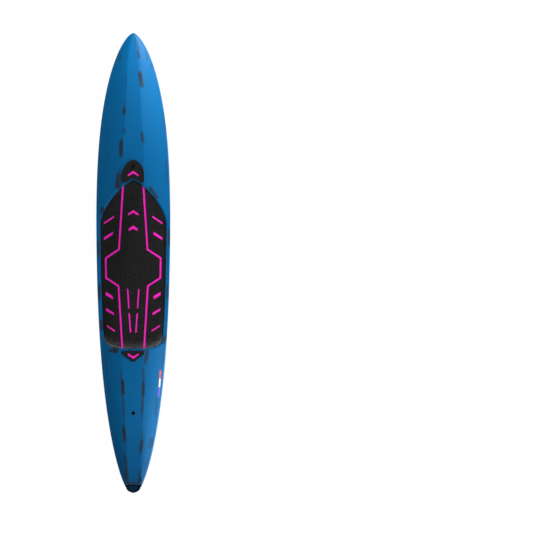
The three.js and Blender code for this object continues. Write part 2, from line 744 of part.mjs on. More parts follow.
function chevron(apexY, half, sweep, arm, low, high) {
  const innerY = apexY - Math.sign(sweep) * arm;
  const endY = apexY - sweep;
  const innerEndY = endY - Math.sign(sweep) * arm * armEndShare;
  return prism([[0, apexY], [half, endY], [half, innerEndY], [0, innerY], [-half, innerEndY],
    [-half, endY]], low, high);
}

const foamLow = seatGap;
const foamMiddle = foamLow + baseFoam;
const foamHigh = foamMiddle + seatGap + topFoam;
const padBase = dishLayer(foamLow, foamMiddle);
const padTop = dishLayer(foamMiddle + seatGap, foamHigh);
const padChevrons = chevronShares.map(([placeShare, halfShare, sweepShare, armShare]) =>
  chevron(padTipY - placeShare * padLength, halfShare * padHalfWidth, sweepShare * padLength,
    armShare * padLength, 0, clearZ));

// The middle piece lies between the two seams, the wings outside them
function seamSide(side) {
  const path = seamPathShares.map(padPoint);
  const farX = boardBeam * sideOf[side];
  const points = path.map(([x, y]) => [sideOf[side] * x, y]);
  return prism([...points, [farX, points.at(-1)[1]], [farX, points[0][1]]], 0, clearZ);
}

const routedTop = without(padTop, ...seamStraps(0, clearZ), ...wingSlots(0, clearZ), ...slits(0, clearZ),
  ...padChevrons);
const padWing = (side) => routedTop.intersect(seamSide(side));
const padCentre = without(routedTop, seamSide('left'), seamSide('right'));

// Tabs: layers over a plan outline that follow the flat strip of the deck
const tabRows = 5;
const tabTipSteps = 9;
const tabTipBunching = 1.9;
const tabTipPowers = [1.85, 0.52];
const tabCornerSteps = 4;

function stripLayer(outline, frontY, rearY, low, high) {
  const lower = [];
  const upper = [];
  for (let i = 0; i <= tabRows; i++) {
    const y = frontY + (rearY - frontY) * i / tabRows;
    lower.push([y, deckZ(y) + low]);
    upper.push([y, deckZ(y) + high]);
  }
  return crossPrism([...lower, ...upper.reverse()], tabHalfWidth * 2).intersect(prism(outline, 0, clearZ));
}

function noseTabOutline() {
  const right = [];
  for (let i = 0; i <= tabTipSteps; i++) {
    const y = noseTabTipY - noseTabRound * (i / tabTipSteps) ** tabTipBunching;
    right.push([tabHalfWidth * swell((noseTabTipY - y) / noseTabRound, tabTipPowers), y]);
  }
  right.push([tabHalfWidth, noseTabRearY + tabCorner]);
  for (let i = 1; i <= tabCornerSteps; i++) {
    const angle = Math.PI / 2 * i / tabCornerSteps;
    right.push([tabHalfWidth - tabCornerInset * (1 - Math.cos(angle)),
      noseTabRearY + tabCorner * (1 - Math.sin(angle))]);
  }
  const left = right.slice(1).reverse().map(([x, y]) => [-x, y]);
  return [...right, ...left];
}

function tailTabOutline() {
  const shape = new THREE.Shape();
  const shoulderY = tailTabFrontY - tailTabShoulder;
  const cornerX = tabHalfWidth - tailTabShoulderInset;
  const swellX = tabHalfWidth + tailTabShoulderSwell;
  const tipY = tailTabTipY + tailTabTipRise;
  shape.moveTo(cornerX, tailTabFrontY);
  shape.quadraticCurveTo(swellX, tailTabFrontY, tabHalfWidth, shoulderY);
  shape.quadraticCurveTo(tabHalfWidth, shoulderY - tailTabShoulder / 2,
    tabHalfWidth - tailTabShoulder, shoulderY - tailTabShoulder);
  shape.lineTo(tailTabTipHalf, tipY);
  shape.quadraticCurveTo(0, tailTabTipY - tailTabTipSwell, -tailTabTipHalf, tipY);
  shape.lineTo(tailTabShoulder - tabHalfWidth, shoulderY - tailTabShoulder);
  shape.quadraticCurveTo(-tabHalfWidth, shoulderY - tailTabShoulder / 2, -tabHalfWidth, shoulderY);
  shape.quadraticCurveTo(-swellX, tailTabFrontY, -cornerX, tailTabFrontY);
  return shape.getPoints(tabCornerSteps).slice(0, -1).map((p) => [p.x, p.y]);
}

const rimOutline = padOutline(padEdgeGap + recessWall + tabRimGap).map((p) => [p.x, p.y]);
const rimCutter = prism(rimOutline, 0, clearZ);
const ventWellHole = post(ventWell, clearZ, 0, ventY, 0);
const tabChevrons = {
  nose: chevron(noseChevronY, tabChevronHalf, noseChevronSweep, tabChevronArm, 0, clearZ),
  tail: chevron(tailChevronY, tabChevronHalf, -tailChevronSweep, tabChevronArm, 0, clearZ),
};

function noseTab(low, high) {
  const slab = stripLayer(noseTabOutline(), noseTabTipY + overrun, noseTabRearY - overrun, low, high);
  return without(slab, rimCutter, ventWellHole);
}

const tailTab = (low, high) => stripLayer(tailTabOutline(), tailTabFrontY + overrun,
  tailTabTipY - overrun, low, high);

// Finishes
const finish = {
  blueLacquer: { color: 0x0a5f98, roughness: 0.35, metalness: 0 },
  whiteFoam: { color: 0xf2f2ee, roughness: 0.9, metalness: 0 },
  denseFoam: { color: 0xcfd8a8, roughness: 0.9, metalness: 0 },
  carbon: { color: 0x24262a, roughness: 0.5, metalness: 0 },
  blackPlastic: { color: 0x1b1c1f, roughness: 0.5, metalness: 0 },
  pinkFoam: { color: 0xff20b2, roughness: 0.85, metalness: 0 },
  blackFoam: { color: 0x242424, roughness: 0.9, metalness: 0 },
  brass: { color: 0xb89a52, roughness: 0.35, metalness: 1 },
  steel: { color: 0xb8bcc2, roughness: 0.3, metalness: 1 },
  rubber: { color: 0x151515, roughness: 0.8, metalness: 0 },
};

const board = new THREE.Group();

function addPiece(name, solid, look) {
  const mesh = solid.getMesh();
  const geometry = new THREE.BufferGeometry();
  geometry.setAttribute('position', new THREE.Float32BufferAttribute(mesh.vertProperties, mesh.numProp));
  geometry.setIndex([...mesh.triVerts]);
  const piece = new THREE.Mesh(geometry, new THREE.MeshStandardMaterial(finish[look]));
  piece.name = name;
  board.add(piece);
}

addPiece('deck_skin', deckSkin, 'blueLacquer');
addPiece('bottom_skin', bottomSkin, 'blueLacquer');
addPiece('foam_core_left', coreHalf('left'), 'whiteFoam');
addPiece('foam_core_right', coreHalf('right'), 'whiteFoam');
addPiece('stringer_front', stringer(noseY, blockFrontY), 'carbon');
addPiece('stringer_rear', stringer(blockRearY, tailY), 'carbon');
addPiece('foil_block', foilBlock, 'denseFoam');
addPiece('standing_panel', standingPanel, 'denseFoam');
for (const side of ['left', 'right']) {
  addPiece(`foil_track_${side}`, foilTrack(side), 'blackPlastic');
  addPiece(`track_nut_front_${side}`, trackNut(side, 'front'), 'brass');
  addPiece(`track_nut_rear_${side}`, trackNut(side, 'rear'), 'brass');
}
addPiece('vent_housing', ventHousing(), 'blackPlastic');
addPiece('vent_seal', ventSeal(), 'rubber');
addPiece('vent_screw', ventScrew(), 'blackPlastic');
addPiece('leash_cup', leashPlug(), 'blackPlastic');
addPiece('leash_pin', pinRod(leashPin, leashCup - 2 * seatGap), 'steel');
addPiece('handle_pocket', handlePocket(), 'blackPlastic');
addPiece('pad_base', padBase, 'pinkFoam');
addPiece('pad_centre', padCentre, 'blackFoam');
addPiece('pad_wing_left', padWing('left'), 'blackFoam');
addPiece('pad_wing_right', padWing('right'), 'blackFoam');
addPiece('nose_tab_base', noseTab(foamLow, foamMiddle), 'pinkFoam');
addPiece('nose_tab_top', without(noseTab(foamMiddle + seatGap, foamHigh), tabChevrons.nose), 'blackFoam');
addPiece('tail_tab_base', tailTab(foamLow, foamMiddle), 'pinkFoam');
addPiece('tail_tab_top', without(tailTab(foamMiddle + seatGap, foamHigh), tabChevrons.tail), 'blackFoam');

export default board;
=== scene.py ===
# Downwind foil board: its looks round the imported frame. Shapes are worked out in millimetres, with
# +Z up and the nose towards +Y, and finishPiece turns each mesh to metres in the row frame.
from functools import partial
from math import cos, exp, hypot, pi, radians, sin, sqrt, tan

import bmesh
import bpy
from mathutils import Matrix, Vector
from mathutils.bvhtree import BVHTree


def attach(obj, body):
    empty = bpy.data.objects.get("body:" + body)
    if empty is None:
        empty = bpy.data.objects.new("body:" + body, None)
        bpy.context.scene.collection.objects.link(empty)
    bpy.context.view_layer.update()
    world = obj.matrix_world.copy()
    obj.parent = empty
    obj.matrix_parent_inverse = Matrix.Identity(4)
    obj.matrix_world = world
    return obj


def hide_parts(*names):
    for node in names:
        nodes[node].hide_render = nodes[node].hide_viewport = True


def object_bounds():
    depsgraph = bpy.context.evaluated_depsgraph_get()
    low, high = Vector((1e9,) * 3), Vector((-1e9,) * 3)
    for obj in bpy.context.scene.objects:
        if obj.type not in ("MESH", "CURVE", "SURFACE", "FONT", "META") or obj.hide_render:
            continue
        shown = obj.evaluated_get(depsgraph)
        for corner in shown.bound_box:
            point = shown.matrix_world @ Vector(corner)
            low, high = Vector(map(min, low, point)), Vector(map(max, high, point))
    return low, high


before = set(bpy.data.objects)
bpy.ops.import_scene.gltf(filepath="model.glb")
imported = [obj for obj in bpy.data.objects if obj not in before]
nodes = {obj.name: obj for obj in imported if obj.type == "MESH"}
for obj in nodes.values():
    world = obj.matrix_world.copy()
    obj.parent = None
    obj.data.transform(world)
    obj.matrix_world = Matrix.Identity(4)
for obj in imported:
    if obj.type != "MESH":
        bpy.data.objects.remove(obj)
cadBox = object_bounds()
print("frame loaded")

mm = 0.001

# The photograph is 533 pixels wide and looks straight down; the board lies left of its middle
view = {"imagePixels": 533, "metresPerPixel": 0.005523, "boardPixelX": 133.3, "nosePixelY": 33.0,
        "height": 6.0}


def linked(name, data):
    item = bpy.data.objects.new(name, data)
    bpy.context.scene.collection.objects.link(item)
    return item


def makeCamera():
    middle = view["imagePixels"] / 2
    scale = view["metresPerPixel"]
    noseY = cadBox[1].y
    data = bpy.data.cameras.new("camera")
    data.type = "ORTHO"
    data.ortho_scale = view["imagePixels"] * scale
    camera = linked("camera", data)
    camera.location = ((middle - view["boardPixelX"]) * scale,
                       noseY - (middle - view["nosePixelY"]) * scale, view["height"])
    bpy.context.scene.camera = camera


makeCamera()


# Materials

def hexColour(text):
    parts = [int(text[i:i + 2], 16) / 255 for i in (1, 3, 5)]
    linear = [p / 12.92 if p <= 0.04045 else ((p + 0.055) / 1.055) ** 2.4 for p in parts]
    return (*linear, 1.0)


# A whole node given as a value stands for its first live output, and a text is a colour
def setInputs(node, inputs):
    for name, value in inputs.items():
        if isinstance(value, bpy.types.Node):
            value = next(socket for socket in value.outputs if socket.enabled)
        if isinstance(value, bpy.types.NodeSocket):
            node.id_data.links.new(value, node.inputs[name])
        else:
            node.inputs[name].default_value = hexColour(value) if isinstance(value, str) else value


def addNode(tree, kind, inputs=None, **settings):
    node = tree.nodes.new("ShaderNode" + kind)
    for name, value in settings.items():
        setattr(node, name, value)
    setInputs(node, inputs or {})
    return node


def newMaterial(name):
    material = bpy.data.materials.new(name)
    material.use_nodes = True
    add = partial(addNode, material.node_tree)
    return material, add, material.node_tree.nodes["Principled BSDF"], add("TexCoord").outputs["Object"]


# How often a pattern of a size in millimetres repeats in a metre
def repeats(size):
    return 1 / (size * mm)


# Places where the blue lacquer is rubbed thin and the carbon shows, beside the creases, rails and recess:
# x, y, half width, half length, strength and lean in degrees, seen from above
rubbedPlaces = [
    (12, 1231, 4, 33, 0.4, 14), (22, 1206, 5, 28, 0.5, 24), (29, 1152, 6, 28, 0.8, 6),
    (-77, 1131, 8, 28, 0.5, -10), (-36, 1135, 5, 22, 0.25, 0), (42, 1013, 10, 46, 1, 8),
    (73, 1144, 6, 27, 0.4, 16), (101, 1093, 5, 19, 0.4, 16), (-43, 1010, 5, 39, 0.35, 0),
    (140, 947, 4, 22, 0.3, 12), (-50, 842, 9, 23, 0.9, 0), (-43, 878, 5, 17, 0.4, -20), (-51, 729, 9, 14, 0.6, 0),
    (-67, 636, 10, 52, 1, -1), (51, 694, 8, 33, 0.8, 7), (177, 778, 6, 99, 0.75, 8.5), (184, 508, 6, 72, 0.4, 3),
    (-80, 455, 16, 50, 0.95, -8), (-77, 502, 8, 28, 0.5, -6), (-173, 290, 10, 22, 0.9, -4),
    (111, 388, 10, 43, 0.95, 33), (-193, 77, 8, 50, 0.7, 0), (198, 138, 7, 55, 0.75, 0),
    (-187, -160, 8, 44, 0.85, 0), (188, -160, 7, 39, 0.7, 0), (-177, -343, 9, 33, 0.8, 4),
    (171, -426, 9, 27, 0.8, -25), (-110, -485, 25, 14, 1, 8), (23, -484, 49, 6, 0.7, 0),
    (73, -511, 9, 38, 0.9, -8), (67, -544, 7, 21, 0.7, -14), (-70, -627, 6, 33, 0.5, 6), (-58, -688, 9, 46, 1, 5),
    (-54, -774, 6, 61, 0.55, 3), (-52, -821, 7, 21, 0.65, 3), (56, -608, 7, 33, 0.6, 3),
    (55, -696, 8, 52, 0.95, -2), (50, -793, 7, 50, 0.8, -2), (-50, -946, 8, 50, 1, 6),
    (-42, -1105, 7, 52, 0.95, 7), (-35, -1182, 8, 41, 0.95, 8), (50, -945, 5, 22, 0.45, 0),
    (45, -1010, 8, 46, 1, -6), (33, -1177, 7, 39, 0.7, -6), (44, -1207, 7, 17, 0.7, -10),
    (4, -1217, 42, 8, 0.95, 0), (124, -793, 8, 55, 0.38, -2), (96, -994, 11, 32, 0.5, -14),
    (164, -536, 6, 44, 0.25, -2), (68, -1116, 6, 28, 0.28, -14), (-149, -547, 6, 77, 0.28, 3),
    (-128, -713, 6, 61, 0.18, 6), (-147, 624, 5, 144, 0.2, 0), (-53, -790, 4, 120, 0.6, 3), (52, -740, 4, 160, 0.6, -2),
    (-41, -1130, 4, 95, 0.7, 7), (-45, -985, 4, 60, 0.4, 6), (44, -985, 4, 80, 0.45, -6),
]
lacquer = {
    "blue": "#005e94", "shadedTailBlue": "#005285", "tailFrom": -900, "tailTo": -1200, "rubbed": "#24303a",
    "roughness": 0.46, "rubbedRoughness": 0.5, "gloss": 0.13, "peel": 4.55,
    "wander": (0.006, 0.03, 0), "wanderSize": 30,         # how far, in metres, the edge of a mark strays
    "markGrow": (1.33, 1.16), "markSoft": (0.05, 0.6), "markReach": 42, "markZ": 140, "markTailDrop": 15,
    "streakSize": (12.5, 143, 33), "streakSpan": (0.52, 0.78), "streak": 0.08, "breakSpan": (0.3, 0.6), "unbroken": 0.8,
}


# Satin polyurethane lacquer over sanded carbon: one deep blue with a soft sheen, rubbed through in dark
# smudges that run along the board, and a faint orange peel. A depth factor below 1 darkens it all, as painted shade
def makeLacquer(name, depth=1.0):
    material, add, shader, place = newMaterial(name)
    c = lacquer
    wobble = add("TexNoise", {"Vector": place, "Scale": repeats(c["wanderSize"]), "Detail": 3})
    centred = add("VectorMath", {0: wobble.outputs["Color"], 1: (0.5, 0.5, 0.5)}, operation="SUBTRACT")
    pushed = add("VectorMath", {0: centred, 1: c["wander"]}, operation="MULTIPLY")
    warped = add("VectorMath", {0: place, 1: pushed}, operation="ADD")
    wearAndHighlight = 0
    for x, y, halfWidth, halfLength, strength, lean in rubbedPlaces:
        z = c["markZ"] - c["markTailDrop"] * min(y * mm / cadBox[1].y, 0) ** 2
        reach = (c["markGrow"][0] * halfWidth, c["markGrow"][1] * halfLength, c["markReach"])
        spot = add("Mapping", {"Vector": warped, "Location": Vector((x, y, z)) * mm, "Rotation": (0, 0, radians(lean)),
                               "Scale": Vector(reach) * mm}, vector_type="TEXTURE")
        # Squared coordinates make the round gradient a blockier one, with straight sides
        squared = add("VectorMath", {0: spot, 1: spot}, operation="MULTIPLY")
        glow = add("TexGradient", {"Vector": squared}, gradient_type="SPHERICAL")
        patch = add("MapRange", {"Value": glow.outputs["Fac"], "From Min": c["markSoft"][0],
                                 "From Max": c["markSoft"][1], "To Max": strength}, interpolation_type="SMOOTHSTEP")
        wearAndHighlight = add("Math", {0: wearAndHighlight, 1: patch}, operation="MAXIMUM")
    # Brushed streaks lengthwise, which also break up the marks
    along = add("Mapping", {"Vector": place, "Scale": [repeats(size) for size in c["streakSize"]]})
    streaks = add("TexNoise", {"Vector": along, "Scale": 1, "Detail": 4})
    thin = add("MapRange", {"Value": streaks, "From Min": c["streakSpan"][0], "From Max": c["streakSpan"][1],
                            "To Max": c["streak"]})
    patchy = add("MapRange", {"Value": streaks, "From Min": c["breakSpan"][0], "From Max": c["breakSpan"][1],
                              "To Min": c["unbroken"]})
    broken = add("Math", {0: wearAndHighlight, 1: patchy}, operation="MULTIPLY")
    amount = add("Math", {0: broken, 1: thin}, operation="MAXIMUM")
    # Painted shade: the blue is drawn a little darker towards the very tail, where the deck falls away from the light
    y = add("SeparateXYZ", {0: place}).outputs["Y"]
    rearward = add("MapRange", {"Value": y, "From Min": c["tailFrom"] * mm, "From Max": c["tailTo"] * mm})
    blue = add("Mix", {0: rearward, 6: c["blue"], 7: c["shadedTailBlue"]}, data_type="RGBA")
    colour = add("Mix", {0: amount, 6: blue, 7: c["rubbed"]}, data_type="RGBA")
    # Painted shade: a depth below 1 darkens the whole colour, as for the ledge in the shade of the recess wall
    shadedColour = add("Mix", {0: 1, 6: colour, 7: (depth, depth, depth, 1)}, data_type="RGBA", blend_type="MULTIPLY")
    rough = add("MapRange", {"Value": amount, "To Min": c["roughness"], "To Max": c["rubbedRoughness"]})
    peel = add("TexNoise", {"Vector": place, "Scale": repeats(c["peel"])})
    bump = add("Bump", {"Height": peel, "Strength": 0.04, "Distance": 0.6 * mm})
    setInputs(shader, {"Base Color": shadedColour, "Roughness": rough, "Specular IOR Level": c["gloss"], "Normal": bump})
    return material


# Bare carbon laminate under clear lacquer: near black, with the twill only faintly there, in tows 4 mm wide
def makeCarbon(name, colour, lighter, roughness, gloss=0.3):
    material, add, shader, place = newMaterial(name)
    twill = add("Mapping", {"Vector": place, "Rotation": (0, 0, radians(45)), "Scale": [repeats(4)] * 3})
    weave = add("TexChecker", {"Vector": twill, "Scale": 1, "Color1": colour, "Color2": lighter})
    grain = add("TexNoise", {"Vector": twill, "Scale": 1.5})
    bump = add("Bump", {"Height": grain, "Strength": 0.15, "Distance": 0.3 * mm})
    setInputs(shader, {"Base Color": weave, "Roughness": roughness, "Specular IOR Level": gloss, "Normal": bump})
    return material


# The pale grey and its spread below make a painted highlight at the rear of the pad
foam = {"grain": 1.92, "drawnGrain": 6.25, "grit": 5.88, "gritSpan": (0.38, 0.62), "highlightGrey": "#747372",
        "highlightSpread": (0.1, 1.9), "roughness": 0.92, "gloss": 0.08}


# Closed-cell EVA foam with a pressed leather grain: dull and evenly speckled, and painted pale where an attribute
# of a piece says so, a painted highlight where the rear of the pad curls up to the light. The real grain is 1 to 2 mm;
# one of 6 mm is drawn too, to show from above
def makeFoam(name, colour, speckled):
    material, add, shader, place = newMaterial(name)
    fine = add("TexVoronoi", {"Vector": place, "Scale": repeats(foam["grain"])}, feature="SMOOTH_F1")
    coarse = add("TexVoronoi", {"Vector": place, "Scale": repeats(foam["drawnGrain"])}, feature="SMOOTH_F1")
    grit = add("TexNoise", {"Vector": place, "Scale": repeats(foam["grit"]), "Roughness": 0.6})
    span = {"Value": grit, "From Min": foam["gritSpan"][0], "From Max": foam["gritSpan"][1]}
    speckle = add("MapRange", span)
    mixed = add("Mix", {0: speckle, 6: colour, 7: speckled}, data_type="RGBA")
    # Painted highlight: pale grey laid on by the rear-edge attribute, for light catching the up-curled rear of the pad
    highlightAttribute = add("Attribute", attribute_name="rearHighlight")
    patchy = add("MapRange", {**span, "To Min": foam["highlightSpread"][0], "To Max": foam["highlightSpread"][1]})
    amount = add("Math", {0: highlightAttribute.outputs["Fac"], 1: patchy}, operation="MULTIPLY")
    wearAndHighlight = add("Mix", {0: amount, 6: mixed, 7: foam["highlightGrey"]}, data_type="RGBA")
    first = add("Bump", {"Height": coarse, "Strength": 0.5, "Distance": 1.2 * mm})
    second = add("Bump", {"Height": fine, "Strength": 0.5, "Distance": 0.4 * mm, "Normal": first})
    setInputs(shader, {"Base Color": wearAndHighlight, "Roughness": foam["roughness"], "Specular IOR Level": foam["gloss"],
                       "Normal": second})
    return material


# Injection-moulded glass-filled nylon: near black, with a fine spark-eroded texture of about 1 mm
def makePlastic(name, colour, lighter, roughness):
    material, add, shader, place = newMaterial(name)
    grit = add("TexNoise", {"Vector": place, "Scale": repeats(1.1), "Detail": 3})
    mixed = add("Mix", {0: grit, 6: colour, 7: lighter}, data_type="RGBA")
    bump = add("Bump", {"Height": grit, "Strength": 0.2, "Distance": 0.2 * mm})
    setInputs(shader, {"Base Color": mixed, "Roughness": roughness, "Specular IOR Level": 0.12, "Normal": bump})
    return material


# Turned or machined metal: fine tool marks 1 mm apart along the piece, duller in some than in others
def makeMetal(name, colour, duller, roughness):
    material, add, shader, place = newMaterial(name)
    marks = add("Mapping", {"Vector": place, "Scale": [repeats(size) for size in (16.7, 1.1, 16.7)]})
    lines = add("TexNoise", {"Vector": marks, "Scale": 1, "Detail": 4})
    mixed = add("Mix", {0: lines, 6: colour, 7: duller}, data_type="RGBA")
    rough = add("MapRange", {"Value": lines, "To Min": roughness - 0.08, "To Max": roughness + 0.08})
    bump = add("Bump", {"Height": lines, "Strength": 0.1, "Distance": 0.1 * mm})
    setInputs(shader, {"Base Color": mixed, "Metallic": 1, "Roughness": rough, "Normal": bump})
    return material


# Cut foam core: pale, with the small round cells of expanded beads
def makeCore(name, colour, cellColour, cell):
    material, add, shader, place = newMaterial(name)
    beads = add("TexVoronoi", {"Vector": place, "Scale": repeats(cell)}, feature="DISTANCE_TO_EDGE")
    wall = add("MapRange", {"Value": beads, "From Max": 0.12})
    mixed = add("Mix", {0: wall, 6: cellColour, 7: colour}, data_type="RGBA")
    bump = add("Bump", {"Height": wall, "Strength": 0.3, "Distance": 0.5 * mm})
    setInputs(shader, {"Base Color": mixed, "Roughness": 0.9, "Normal": bump})
    return material


stripe = {"front": "#d85a58", "middle": "#d9d9d9", "rear": "#6866d0", "frontEndY": -639, "middleEndY": -685}


# Printed stripe under the lacquer: three plain colours one after the other, in ink of slightly uneven strength
def makeStripe():
    material, add, shader, place = newMaterial("printed_stripe")
    y = add("SeparateXYZ", {0: place}).outputs["Y"]
    colour = stripe["rear"]
    for end, name in (("middleEndY", "middle"), ("frontEndY", "front")):
        ahead = add("Math", {0: y, 1: stripe[end] * mm}, operation="GREATER_THAN")
        colour = add("Mix", {0: ahead, 6: colour, 7: stripe[name]}, data_type="RGBA")
    ink = add("TexNoise", {"Vector": place, "Scale": repeats(2.5)})
    uneven = add("MapRange", {"Value": ink, "To Min": 0.94})
    shaded = add("Mix", {0: 1, 6: colour, 7: uneven}, data_type="RGBA", blend_type="MULTIPLY")
    setInputs(shader, {"Base Color": shaded, "Roughness": 0.4, "Specular IOR Level": 0.08})
    return material


finishes = {
    "lacquer": makeLacquer("satin_blue_lacquer"),
    "ledge": makeLacquer("satin_blue_lacquer_painted_shade_ledge", 0.78),    # painted shade: the ledge lies in the shade of the recess wall, so its blue is drawn darker
    # The transom's dark navy is partly bare carbon and partly painted shade of a face turned back, away from the light
    "transom": makeCarbon("navy_transom_painted_shade", "#002440", "#002c4e", 0.5, 0.01),
    "transomRim": makeCarbon("bare_carbon_rim", "#010406", "#03070b", 0.5, 0.01),
    "carbon": makeCarbon("carbon_stringer", "#17181b", "#26282c", 0.45),
    "blackFoam": makeFoam("black_eva_foam", "#151515", "#252525"),
    "foamEdge": makeFoam("cut_black_eva_edge", "#241a16", "#352820"),
    "pinkFoam": makeFoam("pink_eva_foam", "#ff1fc2", "#ff2cc7"),
    "blackPlastic": makePlastic("black_nylon", "#0e0e0f", "#171719", 0.5),
    "greyPlastic": makePlastic("dark_grey_nylon", "#35302d", "#3e3936", 0.6),
    "trackPlastic": makePlastic("glass_filled_nylon", "#161618", "#1f1f22", 0.6),
    "rubber": makePlastic("black_nitrile_rubber", "#0c0c0c", "#141414", 0.75),
    "brass": makeMetal("machined_brass", "#c9a557", "#a3803c", 0.32),
    "blackSteel": makeMetal("blackened_stainless_steel", "#1b1b1d", "#111113", 0.4),
    "whiteCore": makeCore("expanded_polystyrene", "#f3f3ef", "#dcdcd6", 3.5),
    "denseCore": makeCore("dense_pvc_foam", "#cfd8a8", "#b9c48e", 1.2),
    "stripe": makeStripe(),
}
print("materials made")


# Mesh helpers

# Points nearer than this many millimetres are merged, and edges turn smooth, sharp or flat at these degrees
meshing = {"merge": 0.01, "turnedMerge": 0.001, "cutMerge": 0.002, "sliceMerge": 0.02, "nodeMerge": 0.005,
           "sliver": 0.001, "smoothUnder": 32, "sharpOver": 50, "nodeSharpOver": 55, "nodeFlat": 1,
           "hullFlat": 0.02}


def placed(name, mesh):
    data = bpy.data.meshes.new(name)
    mesh.to_mesh(data)
    mesh.free()
    return linked(name, data)


# Makes a mesh in millimetres a piece of the board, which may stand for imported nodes
def finishPiece(name, mesh, looks, hidden=(), body="hull"):
    bmesh.ops.scale(mesh, vec=(mm, mm, mm), verts=mesh.verts)
    for face in mesh.faces:
        face.smooth = True
    for edge in mesh.edges:
        edge.smooth = len(edge.link_faces) == 2 and edge.calc_face_angle(0) < radians(meshing["smoothUnder"])
    piece = placed(name, mesh)
    for look in looks:
        piece.data.materials.append(finishes[look])
    piece.modifiers.new("weighted normals", "WEIGHTED_NORMAL").keep_sharp = True
    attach(piece, body)
    if hidden:
        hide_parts(*hidden)
    return piece


# Skin over rings of equally many points: a grid whose columns run round and whose rows run along
def loftRings(rings):
    mesh = bmesh.new()
    columns, rows = len(rings[0]), len(rings) - 1
    bmesh.ops.create_grid(mesh, x_segments=columns, y_segments=rows, size=1)
    for vertex in mesh.verts:
        i = round((vertex.co.x + 1) / 2 * columns) % columns
        j = round((vertex.co.y + 1) / 2 * rows)
        vertex.co = rings[j][i]
    tidyMesh(mesh)
    return mesh


def tidyMesh(mesh, distance=meshing["merge"]):
    bmesh.ops.remove_doubles(mesh, verts=mesh.verts, dist=distance)
    bmesh.ops.dissolve_degenerate(mesh, edges=mesh.edges, dist=distance / 10)
    openEdges = [edge for edge in mesh.edges if len(edge.link_faces) == 1]
    if openEdges:
        bmesh.ops.holes_fill(mesh, edges=openEdges)
    bmesh.ops.recalc_face_normals(mesh, faces=mesh.faces)


def paint(faces, index):
    for face in faces:
        face.material_index = index


# Upright prism over an outline of [x, y] points
def prism(points, low, high):
    mesh = bmesh.new()
    corners = [mesh.verts.new((x, y, low)) for x, y in points]
    bottom = mesh.faces.new(corners)
    raised = bmesh.ops.extrude_face_region(mesh, geom=[bottom])["geom"]
    tops = [item for item in raised if isinstance(item, bmesh.types.BMVert)]
    bmesh.ops.translate(mesh, vec=(0, 0, high - low), verts=tops)
    bmesh.ops.recalc_face_normals(mesh, faces=mesh.faces)
    return mesh


# Part of a circle from one angle to another, in degrees
def arc(cx, cy, radius, start, end, steps=5):
    angles = [radians(start + (end - start) * i / steps) for i in range(steps + 1)]
    return [(cx + radius * cos(angle), cy + radius * sin(angle)) for angle in angles]


# Four-cornered outline between two points, whose ends reach (x, y) to either side of them
def bar(a, b, x, y):
    return [(a[0] + x, a[1] + y), (a[0] - x, a[1] - y), (b[0] - x, b[1] - y), (b[0] + x, b[1] + y)]


# Solid of revolution from [radius, height] points, about an upright axis on the board's middle line
def turned(profile, y, z, sides=96):
    mesh = bmesh.new()
    points = [mesh.verts.new((radius, 0, height)) for radius, height in profile]
    edges = [mesh.edges.new(pair) for pair in zip(points, points[1:])]
    bmesh.ops.spin(mesh, geom=points + edges, cent=(0, 0, 0), axis=(0, 0, 1), angle=2 * pi, steps=sides,
                   use_merge=True)
    tidyMesh(mesh, meshing["turnedMerge"])
    bmesh.ops.translate(mesh, vec=(0, y, z), verts=mesh.verts)
    return mesh


def joined(meshes):
    whole = bmesh.new()
    for mesh in meshes:
        data = bpy.data.meshes.new("part")
        mesh.to_mesh(data)
        mesh.free()
        whole.from_mesh(data)
        bpy.data.meshes.remove(data)
    return whole


def cut(mesh, cutter):
    pair = [placed("kept", mesh), placed("cutter", cutter)]
    modifier = pair[0].modifiers.new("cut", "BOOLEAN")
    modifier.object = pair[1]
    modifier.solver = "EXACT"
    result = bmesh.new()
    result.from_mesh(pair[0].evaluated_get(bpy.context.evaluated_depsgraph_get()).data)
    for item in pair:
        bpy.data.meshes.remove(item.data)    # its object goes with it
    bmesh.ops.remove_doubles(result, verts=result.verts, dist=meshing["cutMerge"])
    bmesh.ops.dissolve_degenerate(result, edges=result.edges, dist=meshing["sliver"])
    return result


# Edges where two faces meet sharply, all of them or only those that a test picks
def sharpEdges(mesh, angle=meshing["sharpOver"], test=None):
    return [edge for edge in mesh.edges if len(edge.link_faces) == 2
            and edge.calc_face_angle(0) > radians(angle) and (test is None or test(edge))]


def bevelEdges(mesh, edges, width):
    bmesh.ops.bevel(mesh, geom=edges, offset=width, segments=2, profile=0.5, affect="EDGES", material=-1,
                    clamp_overlap=False)


# Hull lines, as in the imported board
hull = {
    "length": 2540, "beam": 410, "thickness": 160, "noseRocker": 96, "tailRocker": 50,
    "noseDeckDrop": 32, "tailDeckDrop": 42, "noseDropPower": 2.2, "flatFrontY": 380, "flatRearY": -480,
    "deckCrownY": 150, "bowReach": 1120, "sternReach": 1677, "sternOverhang": 19,
    "tailEndLength": 34.5, "tailEndHalfWidth": 41, "noseTipRound": 26, "railBand": 14,
    "transomRun": 46, "transomFoot": 5, "transomWall": 8, "transomWrap": 2.5, "transomRim": 12,
    "skin": 4, "endInset": 62, "creaseRound": 4, "chineRound": 12, "roundShare": 0.4, "facetCrown": 2.2,
    "crownFade": 60, "railSquareness": 6, "lowerArcStart": 32, "upperArcBunching": 1.15,
    "facetShares": (0.14, 0.28, 0.42, 0.56, 0.7, 0.84),
    "bowPowers": (2.754, 0.638), "sternPowers": (2.573, 0.607), "widestStripShare": 0.8, "widestBandShare": 0.3,
    "stations": 170, "innerStations": 60, "lowerArcSteps": 11, "upperArcSteps": 14,
}
